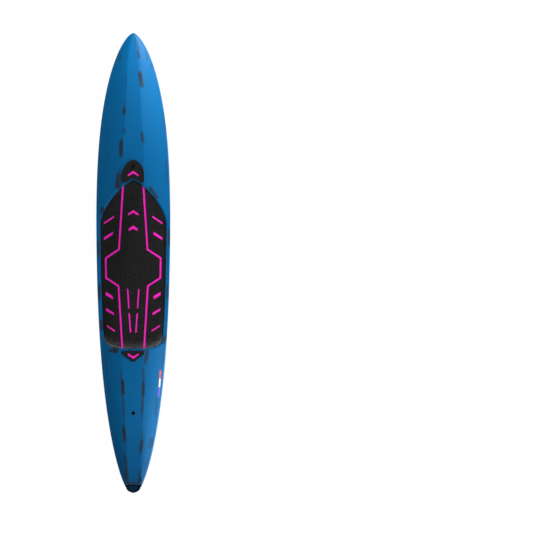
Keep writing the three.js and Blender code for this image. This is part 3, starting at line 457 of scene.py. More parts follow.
hullLines = {     # [share of the length from the nose, value] pairs
    "strip": [(0, 0.02), (0.01, 0.05), (0.06, 0.15), (0.2, 0.24), (0.275, 0.298), (0.7, 0.297), (0.83, 0.255),
              (0.982, 0.195), (1, 0.19)],
    "flat": [(0, 0.1), (0.1, 0.18), (0.25, 0.38), (0.4, 0.5), (0.7, 0.52), (1, 0.55)],
    "chine": [(0, 0.55), (0.12, 0.68), (0.3, 0.84), (0.7, 0.88), (1, 0.84)],
    "chineHeight": [(0, 0.4), (0.12, 0.3), (0.3, 0.15), (0.5, 0.11), (0.8, 0.12), (1, 0.18)],
    "railHeight": [(0, 0.7), (0.15, 0.66), (0.4, 0.6), (0.8, 0.58), (1, 0.55)],
    "facetTilt": [(0, 20), (0.06, 18.8), (0.12, 19.7), (0.2, 17), (0.3, 11.5), (0.4, 8.7), (0.7, 9.2), (0.78, 10.5),
                  (0.86, 14), (0.93, 15.7), (1, 19.4)],
    "levelRim": [(0.36, 0), (0.4, 1), (0.65, 1), (0.68, 0)],
}
noseY = hull["length"] / 2
tailY = -noseY


# Smooth line through the pairs of one list
def lineAt(name, share):
    pairs = hullLines[name]
    last = len(pairs) - 1
    if share <= pairs[0][0]:
        return pairs[0][1]
    if share >= pairs[last][0]:
        return pairs[last][1]
    i = next(k for k, pair in enumerate(pairs) if pair[0] > share) - 1

    def slope(a, b):
        return (pairs[b][1] - pairs[a][1]) / (pairs[b][0] - pairs[a][0])

    def tangent(k):
        if k in (0, last):
            return slope(max(k - 1, 0), min(k + 1, last))
        before, after = slope(k - 1, k), slope(k, k + 1)
        return 0 if before * after <= 0 else 2 * before * after / (before + after)

    run = pairs[i + 1][0] - pairs[i][0]
    t = (share - pairs[i][0]) / run
    return ((1 + 2 * t) * (1 - t) ** 2 * pairs[i][1] + t * (1 - t) ** 2 * run * tangent(i)
            + t ** 2 * (3 - 2 * t) * pairs[i + 1][1] - t ** 2 * (1 - t) * run * tangent(i + 1))


def clamp(value, low=0.0, high=1.0):
    return min(max(value, low), high)


def lengthShare(y):
    return (noseY - y) / hull["length"]


def swell(share, powers):
    return (1 - (1 - clamp(share)) ** powers[0]) ** powers[1]


def halfBeam(y):
    h = hull
    bow = swell((noseY - y) / h["bowReach"], h["bowPowers"])
    stern = swell((y - tailY + h["sternOverhang"]) / h["sternReach"], h["sternPowers"])
    sides = h["beam"] / 2 * min(bow, stern)
    intoEnd = (tailY + h["tailEndLength"] - y) / h["tailEndLength"]
    return sides if intoEnd <= 0 else min(sides, h["tailEndHalfWidth"] * sqrt(max(1 - intoEnd ** 2, 0)))


def stripHalf(y):
    return min(hull["beam"] / 2 * lineAt("strip", lengthShare(y)), halfBeam(y) * hull["widestStripShare"])


def bottomZ(y):
    h = hull
    if y > h["flatFrontY"]:
        return h["noseRocker"] * ((y - h["flatFrontY"]) / (noseY - h["flatFrontY"])) ** 2
    if y < h["flatRearY"]:
        return h["tailRocker"] * ((h["flatRearY"] - y) / (h["flatRearY"] - tailY)) ** 2
    return 0


def deckZ(y):
    h = hull
    if y > h["deckCrownY"]:
        along = (y - h["deckCrownY"]) / (noseY - h["deckCrownY"])
        return h["thickness"] - h["noseDeckDrop"] * along ** h["noseDropPower"]
    return h["thickness"] - h["tailDeckDrop"] * ((h["deckCrownY"] - y) / (h["deckCrownY"] - tailY)) ** 2


# Faceted deck: a level strip, and facets that fall away from it with a slight crown
def deckSurface(x, y):
    tilt = radians(lineAt("facetTilt", lengthShare(y)))
    out = max(abs(x) - stripHalf(y), 0)
    width = max(facetEdgeX(y) - stripHalf(y), 1)
    across = clamp(out / width)
    crown = hull["facetCrown"] * clamp(width / hull["crownFade"])
    return deckZ(y) - out * tan(tilt) + 4 * crown * across * (1 - across)


def facetEdgeX(y):
    band = min(hull["railBand"], halfBeam(y) * hull["widestBandShare"])
    return max(halfBeam(y) - band, stripHalf(y))


def railZ(y):
    low = bottomZ(y)
    return low + (deckSurface(facetEdgeX(y), y) - low) * lineAt("railHeight", lengthShare(y))


# Corner of a section rounded over a distance, as three points
def roundedCorner(before, corner, after, distance):
    arms = []
    for other in (before, after):
        length = hypot(other[0] - corner[0], other[1] - corner[1])
        part = min(distance / max(length, meshing["merge"]), hull["roundShare"])
        arms.append([corner[k] + (other[k] - corner[k]) * part for k in (0, 1)])
    middle = [corner[k] / 2 + (arms[0][k] + arms[1][k]) / 4 for k in (0, 1)]
    return [arms[0], middle, arms[1]]


# Section from the bottom centre round to the deck centre
def halfSection(y):
    h = hull
    half, low, high, rail = halfBeam(y), bottomZ(y), deckZ(y), railZ(y)
    share, strip = lengthShare(y), stripHalf(y)
    flat = [half * lineAt("flat", share), low]
    chine = [half * lineAt("chine", share), low + (high - low) * lineAt("chineHeight", share)]
    facet = [facetEdgeX(y), deckSurface(facetEdgeX(y), y)]
    start = radians(h["lowerArcStart"])
    lower = []
    for i in range(1, h["lowerArcSteps"] + 1):
        angle = start + (pi / 2 - start) * i / h["lowerArcSteps"]
        out = (sin(angle) - sin(start)) / (1 - sin(start))
        up = 1 - cos(angle) / cos(start)
        lower.append([chine[0] + (half - chine[0]) * out, chine[1] + (rail - chine[1]) * up])
    upper = []    # squarish arc that runs into the facet without a kink
    bend = 2 / (h["railSquareness"] * (1 + lineAt("levelRim", share)))
    fall = tan(radians(lineAt("facetTilt", share))) * (1 - lineAt("levelRim", share))
    for i in range(1, h["upperArcSteps"] + 1):
        angle = pi / 2 * (i / h["upperArcSteps"]) ** h["upperArcBunching"]
        x = facet[0] + (half - facet[0]) * max(cos(angle), 0) ** bend
        upper.append([x, rail + (facet[1] - (x - facet[0]) * fall - rail) * sin(angle) ** bend])
    points = [[0, low], [flat[0] / 2, low]]
    points += roundedCorner([0, low], flat, chine, h["chineRound"])
    points += roundedCorner(flat, chine, lower[0], h["chineRound"])
    points += lower + upper
    for part in h["facetShares"]:
        x = facet[0] + (strip - facet[0]) * part
        points.append([x, deckSurface(x, y)])
    points += roundedCorner(facet, [strip, high], [0, high], h["creaseRound"])
    points += [[strip / 2, high], [0, high]]
    return points


# Half section moved inwards by a wall, square to its edges
def insetSection(points, wall):
    moved = []
    for i, point in enumerate(points):
        before, after = points[max(i - 1, 0)], points[min(i + 1, len(points) - 1)]
        along = Vector((after[0] - before[0], after[1] - before[1]))
        if along.length < meshing["merge"]:
            along = Vector((1, 0))
        along.normalize()
        x = point[0] - along.y * wall
        if i in (0, len(points) - 1):
            x = 0
        moved.append([max(x, 0), point[1] + along.x * wall])
    return moved


def hullRing(y, wall):
    points = halfSection(y)
    close = 1
    if wall:
        points = insetSection(points, wall)
    else:
        intoTip = max(1 - (noseY - y) / hull["noseTipRound"], 0)
        close = sqrt(max(1 - intoTip ** 2, 0))
    tipZ = railZ(noseY)
    right = [Vector((x, y, tipZ + (z - tipZ) * close)) for x, z in points]
    left = [Vector((-p.x, p.y, p.z)) for p in right[-2:0:-1]]
    return right + left


def hullLoft(wall, stations):
    inset = hull["endInset"] if wall else 0
    front, rear = noseY - inset, tailY + inset
    rings = []
    for i in range(stations + 1):
        y = (front + rear) / 2 + (front - rear) / 2 * cos(pi * i / stations)
        rings.append(hullRing(y, wall))
    mesh = loftRings(rings)
    if wall:
        bmesh.ops.dissolve_limit(mesh, angle_limit=radians(meshing["hullFlat"]), verts=mesh.verts, edges=mesh.edges)
    return mesh


# Cuts the sloping transom and closes the cut; the cap gets the material of that index
def cutTransom(mesh, forward, capMaterial):
    foot = bottomZ(tailY) + hull["transomFoot"]
    rise = deckZ(tailY + hull["transomRun"]) - foot
    normal = Vector((0, -rise, hull["transomRun"])).normalized()
    geometry = mesh.verts[:] + mesh.edges[:] + mesh.faces[:]
    made = bmesh.ops.bisect_plane(mesh, geom=geometry, dist=meshing["sliver"], plane_co=(0, tailY + forward, foot),
                                  plane_no=normal, clear_outer=True)
    rim = [item for item in made["geom_cut"] if isinstance(item, bmesh.types.BMEdge)]
    cap = bmesh.ops.contextual_create(mesh, geom=rim)["faces"]
    paint(cap, capMaterial)
    return cap


# Standing recess and pad outline
pad = {
    "tipY": 457.6, "rearY": -472.5, "railMargin": 23.2, "shoulderRun": 242, "cornerRun": 88, "spineRearMargin": 52.8,
    "edgeGap": 1, "recessDepth": 37, "lipDepth": 11, "rearLipDepth": 8, "rearLipRun": 95, "dishRun": 77,
    "archPowers": (1.55, 0.77), "cornerPowers": (3.6, 0.28), "archBunching": 1.7, "cornerBunching": 2.4,
    "archSteps": 44, "sideSteps": 50, "cornerSteps": 30, "innermostShare": 0.9,
    "seatGap": 0.3, "baseFoam": 4.5, "topFoam": 1, "groove": 10, "edgeRound": 0.5, "baseEdgeRound": 0.25,
    "tabBaseRound": 0.4, "cutReach": 20, "baseGrid": (14, 16), "topGrid": (12, 9), "tabGrid": (30, 12),
    "feelFrom": 400, "feelPulls": (1, 0.999, 0.995, 0.985, 0.96), "sideSlope": 0.6,
    "dishShares": (0, 0.05, 0.12, 0.2, 0.3, 0.42, 0.56, 0.72, 0.88, 1),
}
recessFloorZ = hull["thickness"] - pad["recessDepth"]
# Wall of the recess: steep up to a level ledge 6 mm wide, then a soft step up to the deck. Each pair has the
# distance from the pad's edge and the height over the ledge or the deck. The step fades out beside the rail.
# Where it shows in full, a lip's third number is added to its height, and the ledge there is painted darker, as painted
# shade from the recess wall
recess = {
    "shelf": [(1.1, -1.5), (1.35, -0.45), (1.8, 0), (8.2, 0)], "shelfOut": 8.2, "step": 1.1, "stepFade": 22,
    "lip": [(10.2, 0.35, -0.55), (12.2, 0.85, -0.35)], "clear": [(18, 7), (26, 22)], "clearDrop": 4,
    "levelFrom": 0.9, "darkFrom": 0.3, "near": 0.05,
}


def padHalf(y):
    p = pad
    return ((halfBeam(y) - p["railMargin"]) * swell((p["tipY"] - y) / p["shoulderRun"], p["archPowers"])
            * swell((y - p["rearY"]) / p["cornerRun"], p["cornerPowers"]))


def padOutline(grow):
    p = pad
    shoulderY = p["tipY"] - p["shoulderRun"]
    sideLength = shoulderY - p["rearY"] - p["cornerRun"]
    rows = [p["tipY"] - p["shoulderRun"] * (i / p["archSteps"]) ** p["archBunching"] for i in range(p["archSteps"])]
    rows += [shoulderY - sideLength * i / p["sideSteps"] for i in range(p["sideSteps"])]
    rows += [p["rearY"] + p["cornerRun"] * (i / p["cornerSteps"]) ** p["cornerBunching"]
             for i in range(p["cornerSteps"], -1, -1)]
    right = [Vector((padHalf(y), y)) for y in rows]
    left = [Vector((-q.x, q.y)) for q in right[-2:0:-1]]
    outline = right + left
    count = len(outline)
    moved = []
    for k, q in enumerate(outline):
        along = (outline[(k + 1) % count] - outline[k - 1]).normalized()
        moved.append(Vector((q.x - along.y * grow, q.y + along.x * grow)))
    return moved


def floorZ(q, inside):
    rear = clamp(1 - (q.y - pad["rearY"]) / pad["rearLipRun"])
    lip = pad["lipDepth"] - (pad["lipDepth"] - pad["rearLipDepth"]) * rear
    rise = max(deckSurface(q.x, q.y) - lip - recessFloorZ, 0)
    return recessFloorZ + rise * clamp(1 - inside / pad["dishRun"]) ** 2


def spinePoint(q):
    front = pad["tipY"] - pad["shoulderRun"]
    rear = pad["rearY"] + pad["cornerRun"] + pad["spineRearMargin"]
    return Vector((0, clamp(q.y, rear, front)))


def innerPoint(q, inside):
    spine = spinePoint(q)
    return q.lerp(spine, min(inside / (q - spine).length, pad["innermostShare"]))


def lifted(q, z):
    return Vector((q.x, q.y, z))


def dishRings(grow, lift):
    plain, outline = padOutline(0), padOutline(grow)
    rings = [[lifted(spinePoint(q), recessFloorZ + lift) for q in plain]]
    for share in reversed(pad["dishShares"]):
        inside = pad["dishRun"] * share
        rings.append([lifted(outline[k] if share == 0 else innerPoint(q, inside), floorZ(q, inside) + lift)
                      for k, q in enumerate(plain)])
    return rings


# How far the ledge steps down at each point of its outer line
def stepShare(q):
    return clamp((facetEdgeX(q.y) - abs(q.x)) / recess["stepFade"])


def shelfHeights():
    return [deckSurface(q.x, q.y) - recess["step"] * stepShare(q) for q in padOutline(recess["shelfOut"])]


def recessCutter(deeper):
    plain = padOutline(0)
    rings = dishRings(pad["edgeGap"] + deeper, -deeper)
    shelf = shelfHeights()
    step = [stepShare(q) for q in padOutline(recess["shelfOut"])]
    for out, over in recess["shelf"]:
        rings.append([lifted(q, z + over - deeper) for q, z in zip(padOutline(out + deeper), shelf)])
    for out, over, less in recess["lip"]:
        rings.append([lifted(q, deckSurface(q.x, q.y) + over + less * k)
                      for q, k in zip(padOutline(out + deeper), step)])
    for out, over in recess["clear"]:
        rings.append([lifted(q, max(deckSurface(q.x, q.y), deckSurface(p.x, p.y) - recess["clearDrop"]) + over)
                      for p, q in zip(plain, padOutline(out + deeper))])
    top = 3 * hull["thickness"]
    rings.append([lifted(q, top) for q in padOutline(recess["clear"][-1][0] + deeper)])
    rings.append([lifted(spinePoint(q), top) for q in plain])
    return loftRings(rings)


# Places of the fittings
fittings = {
    "trackSpacing": 90, "trackY": -250, "trackLength": 400, "trackWidth": 26, "trackDepth": 26,
    "handleY": 60, "handleLength": 156, "handleWidth": 104, "handleCorner": 26, "handleFlange": 4,
    "ventY": 532.7, "ventHole": 14.6, "ventWell": 20,
    "leashY": -829.8, "leashHole": 22.1, "plugDepth": 24, "gap": 0.3, "reach": 60,
    "holeSides": 64, "cornerSteps": 8,
}


def roundedPlate(length, width, corner, low, high, y):
    points = []
    for turn, (sideX, sideY) in enumerate([(1, 1), (-1, 1), (-1, -1), (1, -1)]):
        points += arc(sideX * (width / 2 - corner), y + sideY * (length / 2 - corner), corner, 90 * turn,
                      90 * turn + 90, fittings["cornerSteps"])
    return prism(points, low, high)


def hullCutters():
    f = fittings
    cutters = []
    grow = 2 * f["gap"]
    for side in (-1, 1):
        ends = [(side * f["trackSpacing"] / 2, f["trackY"] + way * (f["trackLength"] + grow) / 2) for way in (-1, 1)]
        cutters.append(prism(bar(*ends, -(f["trackWidth"] + grow) / 2, 0), -f["trackDepth"], f["trackDepth"]))
    cutters.append(roundedPlate(f["handleLength"] + grow, f["handleWidth"] + grow, f["handleCorner"],
                                -f["reach"], f["handleFlange"] + f["gap"] + hull["skin"], f["handleY"]))
    for hole, y in ((f["ventHole"], f["ventY"]), (f["leashHole"], f["leashY"])):
        low, high = deckZ(y) - f["plugDepth"], deckZ(y) + f["reach"]
        cutters.append(turned([(0, low), (hole / 2, low), (hole / 2, high), (0, high)], y, 0, f["holeSides"]))
    return joined(cutters)


# Gives the faces of the ledge beside the pad the darker lacquer, painted shade from the recess wall over them
def paintLedgeShade(mesh, index):
    rings = [[lifted(q, z) for q, z in zip(padOutline(out), shelfHeights())] for out, over in recess["shelf"][-2:]]
    tree = BVHTree.FromBMesh(loftRings(rings))
    for face in mesh.faces:
        middle = face.calc_center_median()
        if face.normal.z > recess["levelFrom"] and stepShare(middle) > recess["darkFrom"]:
            if tree.find_nearest(middle, recess["near"])[0] is not None:
                face.material_index = index


def makeHull():
    outer = hullLoft(0, hull["stations"])
    cap = cutTransom(outer, 0, 1)
    for width, material in ((hull["transomWrap"], 0), (hull["transomRim"], 2)):
        paint(bmesh.ops.inset_region(outer, faces=cap, thickness=width, use_even_offset=True)["faces"], material)
    outer = cut(outer, recessCutter(0))
    inner = hullLoft(hull["skin"], hull["innerStations"])
    cutTransom(inner, hull["transomWall"], 0)
    inner = cut(inner, recessCutter(hull["skin"]))
    shell = cut(cut(outer, inner), hullCutters())
    paintLedgeShade(shell, 3)
    return finishPiece("hull_shell", shell, ["lacquer", "transom", "transomRim", "ledge"],
                       ["deck_skin", "bottom_skin"])


print("hull made with", len(makeHull().data.polygons), "faces")


# Deck pad: flat slabs, cut along the routed lines, edged, and then laid into the dish of the recess

# Heights of the lower layer's foot, its top and the upper layer's top over the surface below
def foamLevels():
    gap, base = pad["seatGap"], pad["baseFoam"]
    return gap, gap + base, gap + base + gap + pad["topFoam"]


# Gives the height of the recess floor at a point; where a ray misses its edge, it is felt for further in
def recessHeight():
    tree = BVHTree.FromBMesh(loftRings(dishRings(0, 0)))

    def height(x, y):
        for pull in pad["feelPulls"]:
            hit = tree.ray_cast(Vector((x * pull, y * pull, pad["feelFrom"])), Vector((0, 0, -1)))[0]
            if hit is not None:
                return hit.z
        return recessFloorZ

    return height


# Slices a flat piece into a grid fine enough to bend, then lifts each point onto the surface below it
def layDown(mesh, height, grid):
    low = [min(v.co[k] for v in mesh.verts) for k in (0, 1)]
    high = [max(v.co[k] for v in mesh.verts) for k in (0, 1)]
    for axis, step in enumerate(grid):
        normal = Vector((axis == 0, axis == 1, 0))
        count = int((high[axis] - low[axis]) / step)
        for i in range(1, count + 1):
            place = low[axis] + (high[axis] - low[axis]) * i / (count + 1)
            geometry = mesh.verts[:] + mesh.edges[:] + mesh.faces[:]
            bmesh.ops.bisect_plane(mesh, geom=geometry, dist=meshing["sliceMerge"], plane_co=normal * place,
                                   plane_no=normal)
    for vertex in mesh.verts:
        vertex.co.z += height(vertex.co.x, vertex.co.y)


# Path with a width as a closed outline, mitred at its corners
def strapOutline(path, width):
    sides = []
    for side in (1, -1):
        row = []
        for i, point in enumerate(path):
            here = Vector(point)
            inward = (here - Vector(path[i - 1])).normalized() if i else None
            onward = (Vector(path[i + 1]) - here).normalized() if i < len(path) - 1 else None
            inward, onward = inward or onward, onward or inward
            mitre = (inward + onward).normalized()
            reach = width / 2 / max(mitre.dot(onward), 0.5)
            row.append((here.x - mitre.y * reach * side, here.y + mitre.x * reach * side))
        sides.append(row)
    return sides[0] + sides[1][::-1]


# Routed lines in shares of the pad's half width and length, from its front tip
routed = {
    "seam": [(0.309, -0.1), (0.309, 0.035), (0.4333, 0.4115), (0.8364, 0.4638), (0.8242, 0.5808), (0.4455, 0.6289),
             (0.3303, 1), (0.31, 1.1)],
    "wingLines": [((0.892, 0.257), (0.582, 0.217), 0.0108), ((0.890, 0.349), (0.614, 0.3145), 0.0163),
                  ((0.836, 0.6725), (0.617, 0.699), 0.0208), ((0.824, 0.7675), (0.586, 0.7955), 0.0155),
                  ((0.806, 0.865), (0.553, 0.897), 0.0102)],
    "slits": [((0.1697, 0.647), (0.1318, 0.762), 0.046), ((0.1242, 0.7915), (0.0803, 0.9055), 0.049)],
    "slitSlant": 3,
    "chevrons": [(0.1775, 0.16, 0.021, 0.0155), (0.2697, 0.1364, 0.0178, 0.0195)],
    "armEnd": 0.8,
}


def chevronOutline(apexY, half, sweep, arm):
    way = 1 if sweep > 0 else -1
    endY = apexY - sweep
    innerEndY = endY - way * arm * routed["armEnd"]
    return [(0, apexY), (half, endY), (half, innerEndY), (0, apexY - way * arm), (-half, innerEndY), (-half, endY)]


def routedLines(low, high):
    length = pad["tipY"] - pad["rearY"]
    halfWidth = hull["beam"] / 2 - pad["railMargin"]
    outlines = []

    def points(side, pairs):
        return [(side * across * halfWidth, pad["tipY"] - along * length) for across, along in pairs]

    for side in (-1, 1):
        outlines.append(strapOutline(points(side, routed["seam"]), pad["groove"]))
        for *ends, width in routed["wingLines"]:
            outlines.append(bar(*points(side, ends), 0, width * length / 2))
        for *ends, width in routed["slits"]:
            outlines.append(bar(*points(side, ends), -width * halfWidth / 2, -side * routed["slitSlant"]))
    for apex, half, sweep, arm in routed["chevrons"]:
        outlines.append(chevronOutline(pad["tipY"] - apex * length, half * halfWidth, sweep * length,
                                       arm * length))
    return joined([prism(outline, low, high) for outline in outlines])


def topEdges(mesh, height):
    return sharpEdges(mesh, test=lambda edge: all(abs(v.co.z - height) < meshing["merge"] for v in edge.verts))


# Marks the cut sides of a foam piece, so that they take the warmer colour of a cut edge
def markSides(mesh, index):
    paint([face for face in mesh.faces if abs(face.normal.z) < pad["sideSlope"]], index)


# Splits a mesh into its loose islands, from left to right
def islands(mesh):
    left = set(mesh.verts)
    groups = []
    while left:
        stack, group = [left.pop()], set()
        while stack:
            vertex = stack.pop()
            group.add(vertex)
            fresh = left & {edge.other_vert(vertex) for edge in vertex.link_edges}
            left -= fresh
            stack += fresh
        groups.append(group)
    groups.sort(key=lambda group: sum(v.co.x for v in group) / len(group))
    pieces = []
    for group in groups:
        index = {v.index for v in group}
        part = mesh.copy()
        bmesh.ops.delete(part, geom=[v for v in part.verts if v.index not in index], context="VERTS")
        pieces.append(part)
    mesh.free()
    return pieces


def finishFoam(name, mesh, look, node):
    bmesh.ops.recalc_face_normals(mesh, faces=mesh.faces)
    finishPiece(name, mesh, [look, "foamEdge"], [node])


# How strongly the painted highlight lightens the foam at each point: most at the rear edge, where the pad curls up to
# the light, fading over 60 mm
rearHighlight = {"edge": 0.4, "edgeFade": 6, "broad": 0.28, "broadFade": 60, "leftMore": 0.35, "leftX": 150,
        "fromY": -395, "fadeIn": 45}


# Stores the strength of the painted highlight in an attribute of each point
def paintRearHighlight(mesh):
    layer = mesh.verts.layers.float.new("rearHighlight")
    outline = [q for q in padOutline(0) if q.y < rearHighlight["fromY"]]
    for vertex in mesh.verts:
        here = vertex.co.xy
        along = clamp((rearHighlight["fromY"] - here.y) / rearHighlight["fadeIn"])
        if along > 0:
            away = min((here - q).length for q in outline)
            broad = clamp(1 - away / rearHighlight["broadFade"]) ** 2
            amount = rearHighlight["edge"] * exp(-away / rearHighlight["edgeFade"]) + rearHighlight["broad"] * broad
            vertex[layer] = amount * along * (1 + rearHighlight["leftMore"] * clamp(-here.x / rearHighlight["leftX"]))


def makeDeckPad():
    height = recessHeight()
    gap, middle, top = foamLevels()
    outline = padOutline(0)
    base = prism(outline, gap, middle)
    bevelEdges(base, topEdges(base, middle), pad["baseEdgeRound"])
    markSides(base, 1)
    layDown(base, height, pad["baseGrid"])
    finishFoam("deck_pad_base", base, "pinkFoam", "pad_base")
    upper = cut(prism(outline, middle + gap, top), routedLines(0, top + pad["cutReach"]))
    names = ["deck_pad_left_wing", "deck_pad_middle", "deck_pad_right_wing"]
    replaced = ["pad_wing_left", "pad_centre", "pad_wing_right"]
    upper.verts.index_update()
    for name, node, part in zip(names, replaced, islands(upper)):
        bevelEdges(part, topEdges(part, top), pad["edgeRound"])
        markSides(part, 1)
        layDown(part, height, pad["topGrid"])
        paintRearHighlight(part)
        finishFoam(name, part, "blackFoam", node)


makeDeckPad()
print("deck pad made")


# Tabs before and behind the pad, on the flat strip of the deck
tabs = {
    "halfWidth": 59.6, "noseTipY": 568.6, "noseRound": 77, "noseRearY": 444, "rearGap": 8.8,
    "corner": 14, "cornerInset": 8.4, "tipPowers": (1.85, 0.52), "tipBunching": 1.9, "tipSteps": 26,
    "tailFrontY": -486.5, "tailShoulder": 14, "tailShoulderInset": 8.4, "tailShoulderSwell": 2.8,
    "tailTipY": -547.6, "tailTipHalf": 11.2, "tailTipRise": 7, "tailTipSwell": 3.5,
    "noseChevron": (509.5, 30, 21, 14.5), "tailChevron": (-530.5, 30, -20.5, 14.5), "curveSteps": 8,
}


def noseTabOutline():
    t = tabs
    right = []
    for i in range(t["tipSteps"] + 1):
        y = t["noseTipY"] - t["noseRound"] * (i / t["tipSteps"]) ** t["tipBunching"]
        right.append((t["halfWidth"] * swell((t["noseTipY"] - y) / t["noseRound"], t["tipPowers"]), y))
    for i in range(t["curveSteps"] + 1):
        angle = pi / 2 * i / t["curveSteps"]
        right.append((t["halfWidth"] - t["cornerInset"] * (1 - cos(angle)),
                      t["noseRearY"] + t["corner"] * (1 - sin(angle))))
    return right + [(-x, y) for x, y in right[:0:-1]]


def curveTo(points, control, end):
    start = points[-1]
    steps = tabs["curveSteps"]
    for i in range(1, steps + 1):
        s = i / steps
        points.append(tuple((1 - s) ** 2 * start[k] + 2 * s * (1 - s) * control[k] + s ** 2 * end[k]
                            for k in (0, 1)))


def tailTabOutline():
    t = tabs
    front, shoulder, half = t["tailFrontY"], t["tailShoulder"], t["halfWidth"]
    shoulderY, cornerX = front - shoulder, half - t["tailShoulderInset"]
    swellX, tipY = half + t["tailShoulderSwell"], t["tailTipY"] + t["tailTipRise"]
    right = [(cornerX, front)]
    curveTo(right, (swellX, front), (half, shoulderY))
    curveTo(right, (half, shoulderY - shoulder / 2), (half - shoulder, shoulderY - shoulder))
    right.append((t["tailTipHalf"], tipY))
    points = right[:]
    curveTo(points, (0, t["tailTipY"] - t["tailTipSwell"]), (-t["tailTipHalf"], tipY))
    return points + [(-x, y) for x, y in right[-2::-1]]


def makeTab(name, outline, cutters, chevron):
    gap, middle, top = foamLevels()
    for layer, low, high, look, slot, edge in (
            ("base", gap, middle, "pinkFoam", "pink_foam", pad["tabBaseRound"]),
            ("top", middle + gap, top, "blackFoam", "black_foam", pad["edgeRound"])):
        mesh = prism(outline, low, high)
        shapes = cutters + ([chevronOutline(*chevron)] if layer == "top" else [])
        if shapes:
            reach = pad["cutReach"]
            mesh = cut(mesh, joined([prism(shape, -reach, high + reach) for shape in shapes]))
        bevelEdges(mesh, topEdges(mesh, high), edge)
        markSides(mesh, 1)
        layDown(mesh, lambda x, y: deckZ(y), pad["tabGrid"])
        finishFoam(f"{name}_{layer}_foam", mesh, look, f"{name}_{layer}")


def makeTabs():
    well = arc(0, fittings["ventY"], fittings["ventWell"] / 2, 0, 360, fittings["holeSides"])[:-1]
    makeTab("nose_tab", noseTabOutline(), [padOutline(tabs["rearGap"]), well], tabs["noseChevron"])
    makeTab("tail_tab", tailTabOutline(), [], tabs["tailChevron"])


makeTabs()
print("tabs made")


# Vent plug: turned housing, O-ring and screw with a hexagon socket
vent = {
    "flange": 18.4, "flangeHeight": 3.4, "flangeEdge": 1.36, "barrel": 14, "barrelLength": 20, "barrelEdge": 0.5,
    "bore": 8.4, "seat": 13.2, "seatDepth": 1.8, "seatEdge": 0.2, "head": 12, "headHeight": 2.6, "headEdge": 0.65,
    "headFoot": 0.3, "shank": 7.4, "shankLength": 14, "shankEdge": 0.6, "socket": 5, "socketDepth": 1.7,
    "socketRims": (1, 0.6), "socketLip": 0.25, "socketReach": 5, "seal": 1.6, "sealSteps": 20,
}


def makeVent():
    v = vent
    y = fittings["ventY"]
    bore, barrel, flange, seat = v["bore"] / 2, v["barrel"] / 2, v["flange"] / 2, v["seat"] / 2
    base = deckZ(y) + 2 * fittings["gap"]
    foot, top, edge = -v["barrelLength"], v["flangeHeight"], v["flangeEdge"]
    profile = [(bore, foot), (barrel - v["barrelEdge"], foot), (barrel, foot + v["barrelEdge"]), (barrel, 0),
               (flange, 0)]
    profile += arc(flange - edge, top - edge, edge, 0, 90)
    profile += [(seat + v["seatEdge"], top), (seat, top - v["seatEdge"]), (seat, top - v["seatDepth"]),
                (bore, top - v["seatDepth"]), (bore, foot)]
    finishPiece("vent_plug_housing", turned(profile, y, base), ["blackPlastic"], ["vent_housing"])
    sealZ = base + top - v["seatDepth"] + fittings["gap"]
    section = v["seal"] / 2
    ring = arc(bore + section, section, section, 0, 360, v["sealSteps"])
    finishPiece("vent_o_ring", turned(ring, y, sealZ), ["rubber"], ["vent_seal"], "vent_seal")
    headZ = sealZ + v["seal"] + fittings["gap"]
    shank, head, socket = v["shank"] / 2, v["head"] / 2, v["socket"] / 2
    foot, top, edge = -v["shankLength"], v["headHeight"], v["headEdge"]
    profile = [(0, foot), (shank - v["shankEdge"], foot), (shank, foot + v["shankEdge"]), (shank, 0),
               (head - v["headFoot"], 0), (head, v["headFoot"])]
    profile += arc(head - edge, top - edge, edge, 0, 90)
    profile += [(socket + v["socketRims"][0], top), (socket + v["socketRims"][1], top - v["socketLip"]),
                (0, top - v["socketLip"])]
    hexagon = arc(0, y, socket / cos(pi / 6), 0, 360, 6)[:-1]
    socketCutter = prism(hexagon, headZ + top - v["socketDepth"], headZ + top + v["socketReach"])
    screw = cut(turned(profile, y, headZ), socketCutter)
    finishPiece("vent_plug_screw", screw, ["blackPlastic"], ["vent_screw"], "vent_screw")


makeVent()

# Leash plug: cup flush with the deck and a blackened bar across it
leash = {"cup": 21.5, "depth": 22, "edge": 0.64, "bore": 16.4, "boreDepth": 17, "boreRound": 2, "pin": 3.2,
         "pinDepth": 5.5, "pinRoom": 0.6, "pinEdge": 0.3, "pinSides": 40}


def pinRod(diameter, length, y, z):
    mesh = bmesh.new()
    turn = Matrix.Translation((0, y, z)) @ Matrix.Rotation(pi / 2, 4, "Y")
    bmesh.ops.create_cone(mesh, cap_ends=True, segments=leash["pinSides"], radius1=diameter / 2,
                          radius2=diameter / 2, depth=length, matrix=turn)
    return mesh


def makeLeashPlug():
    s = leash
    y = fittings["leashY"]
    top, edge, inner = deckZ(y), s["edge"], s["boreRound"]
    cup, bore = s["cup"] / 2, s["bore"] / 2
    profile = [(0, -s["depth"]), (cup - edge, -s["depth"]), (cup, edge - s["depth"])]
    profile += arc(cup - edge, -edge, edge, 0, 90) + arc(bore + edge, -edge, edge, 90, 180)
    profile += arc(bore - inner, inner - s["boreDepth"], inner, 0, -90) + [(0, -s["boreDepth"])]
    drilled = cut(turned(profile, y, top), pinRod(s["pin"] + s["pinRoom"], s["cup"] * 2, y, top - s["pinDepth"]))
    finishPiece("leash_plug_cup", drilled, ["greyPlastic"], ["leash_cup"])
    pin = pinRod(s["pin"], s["cup"] - 2 * fittings["gap"], y, top - s["pinDepth"])
    bevelEdges(pin, sharpEdges(pin), s["pinEdge"])
    finishPiece("leash_plug_bar", pin, ["blackSteel"], ["leash_pin"])


makeLeashPlug()
print("vent and leash plugs made")


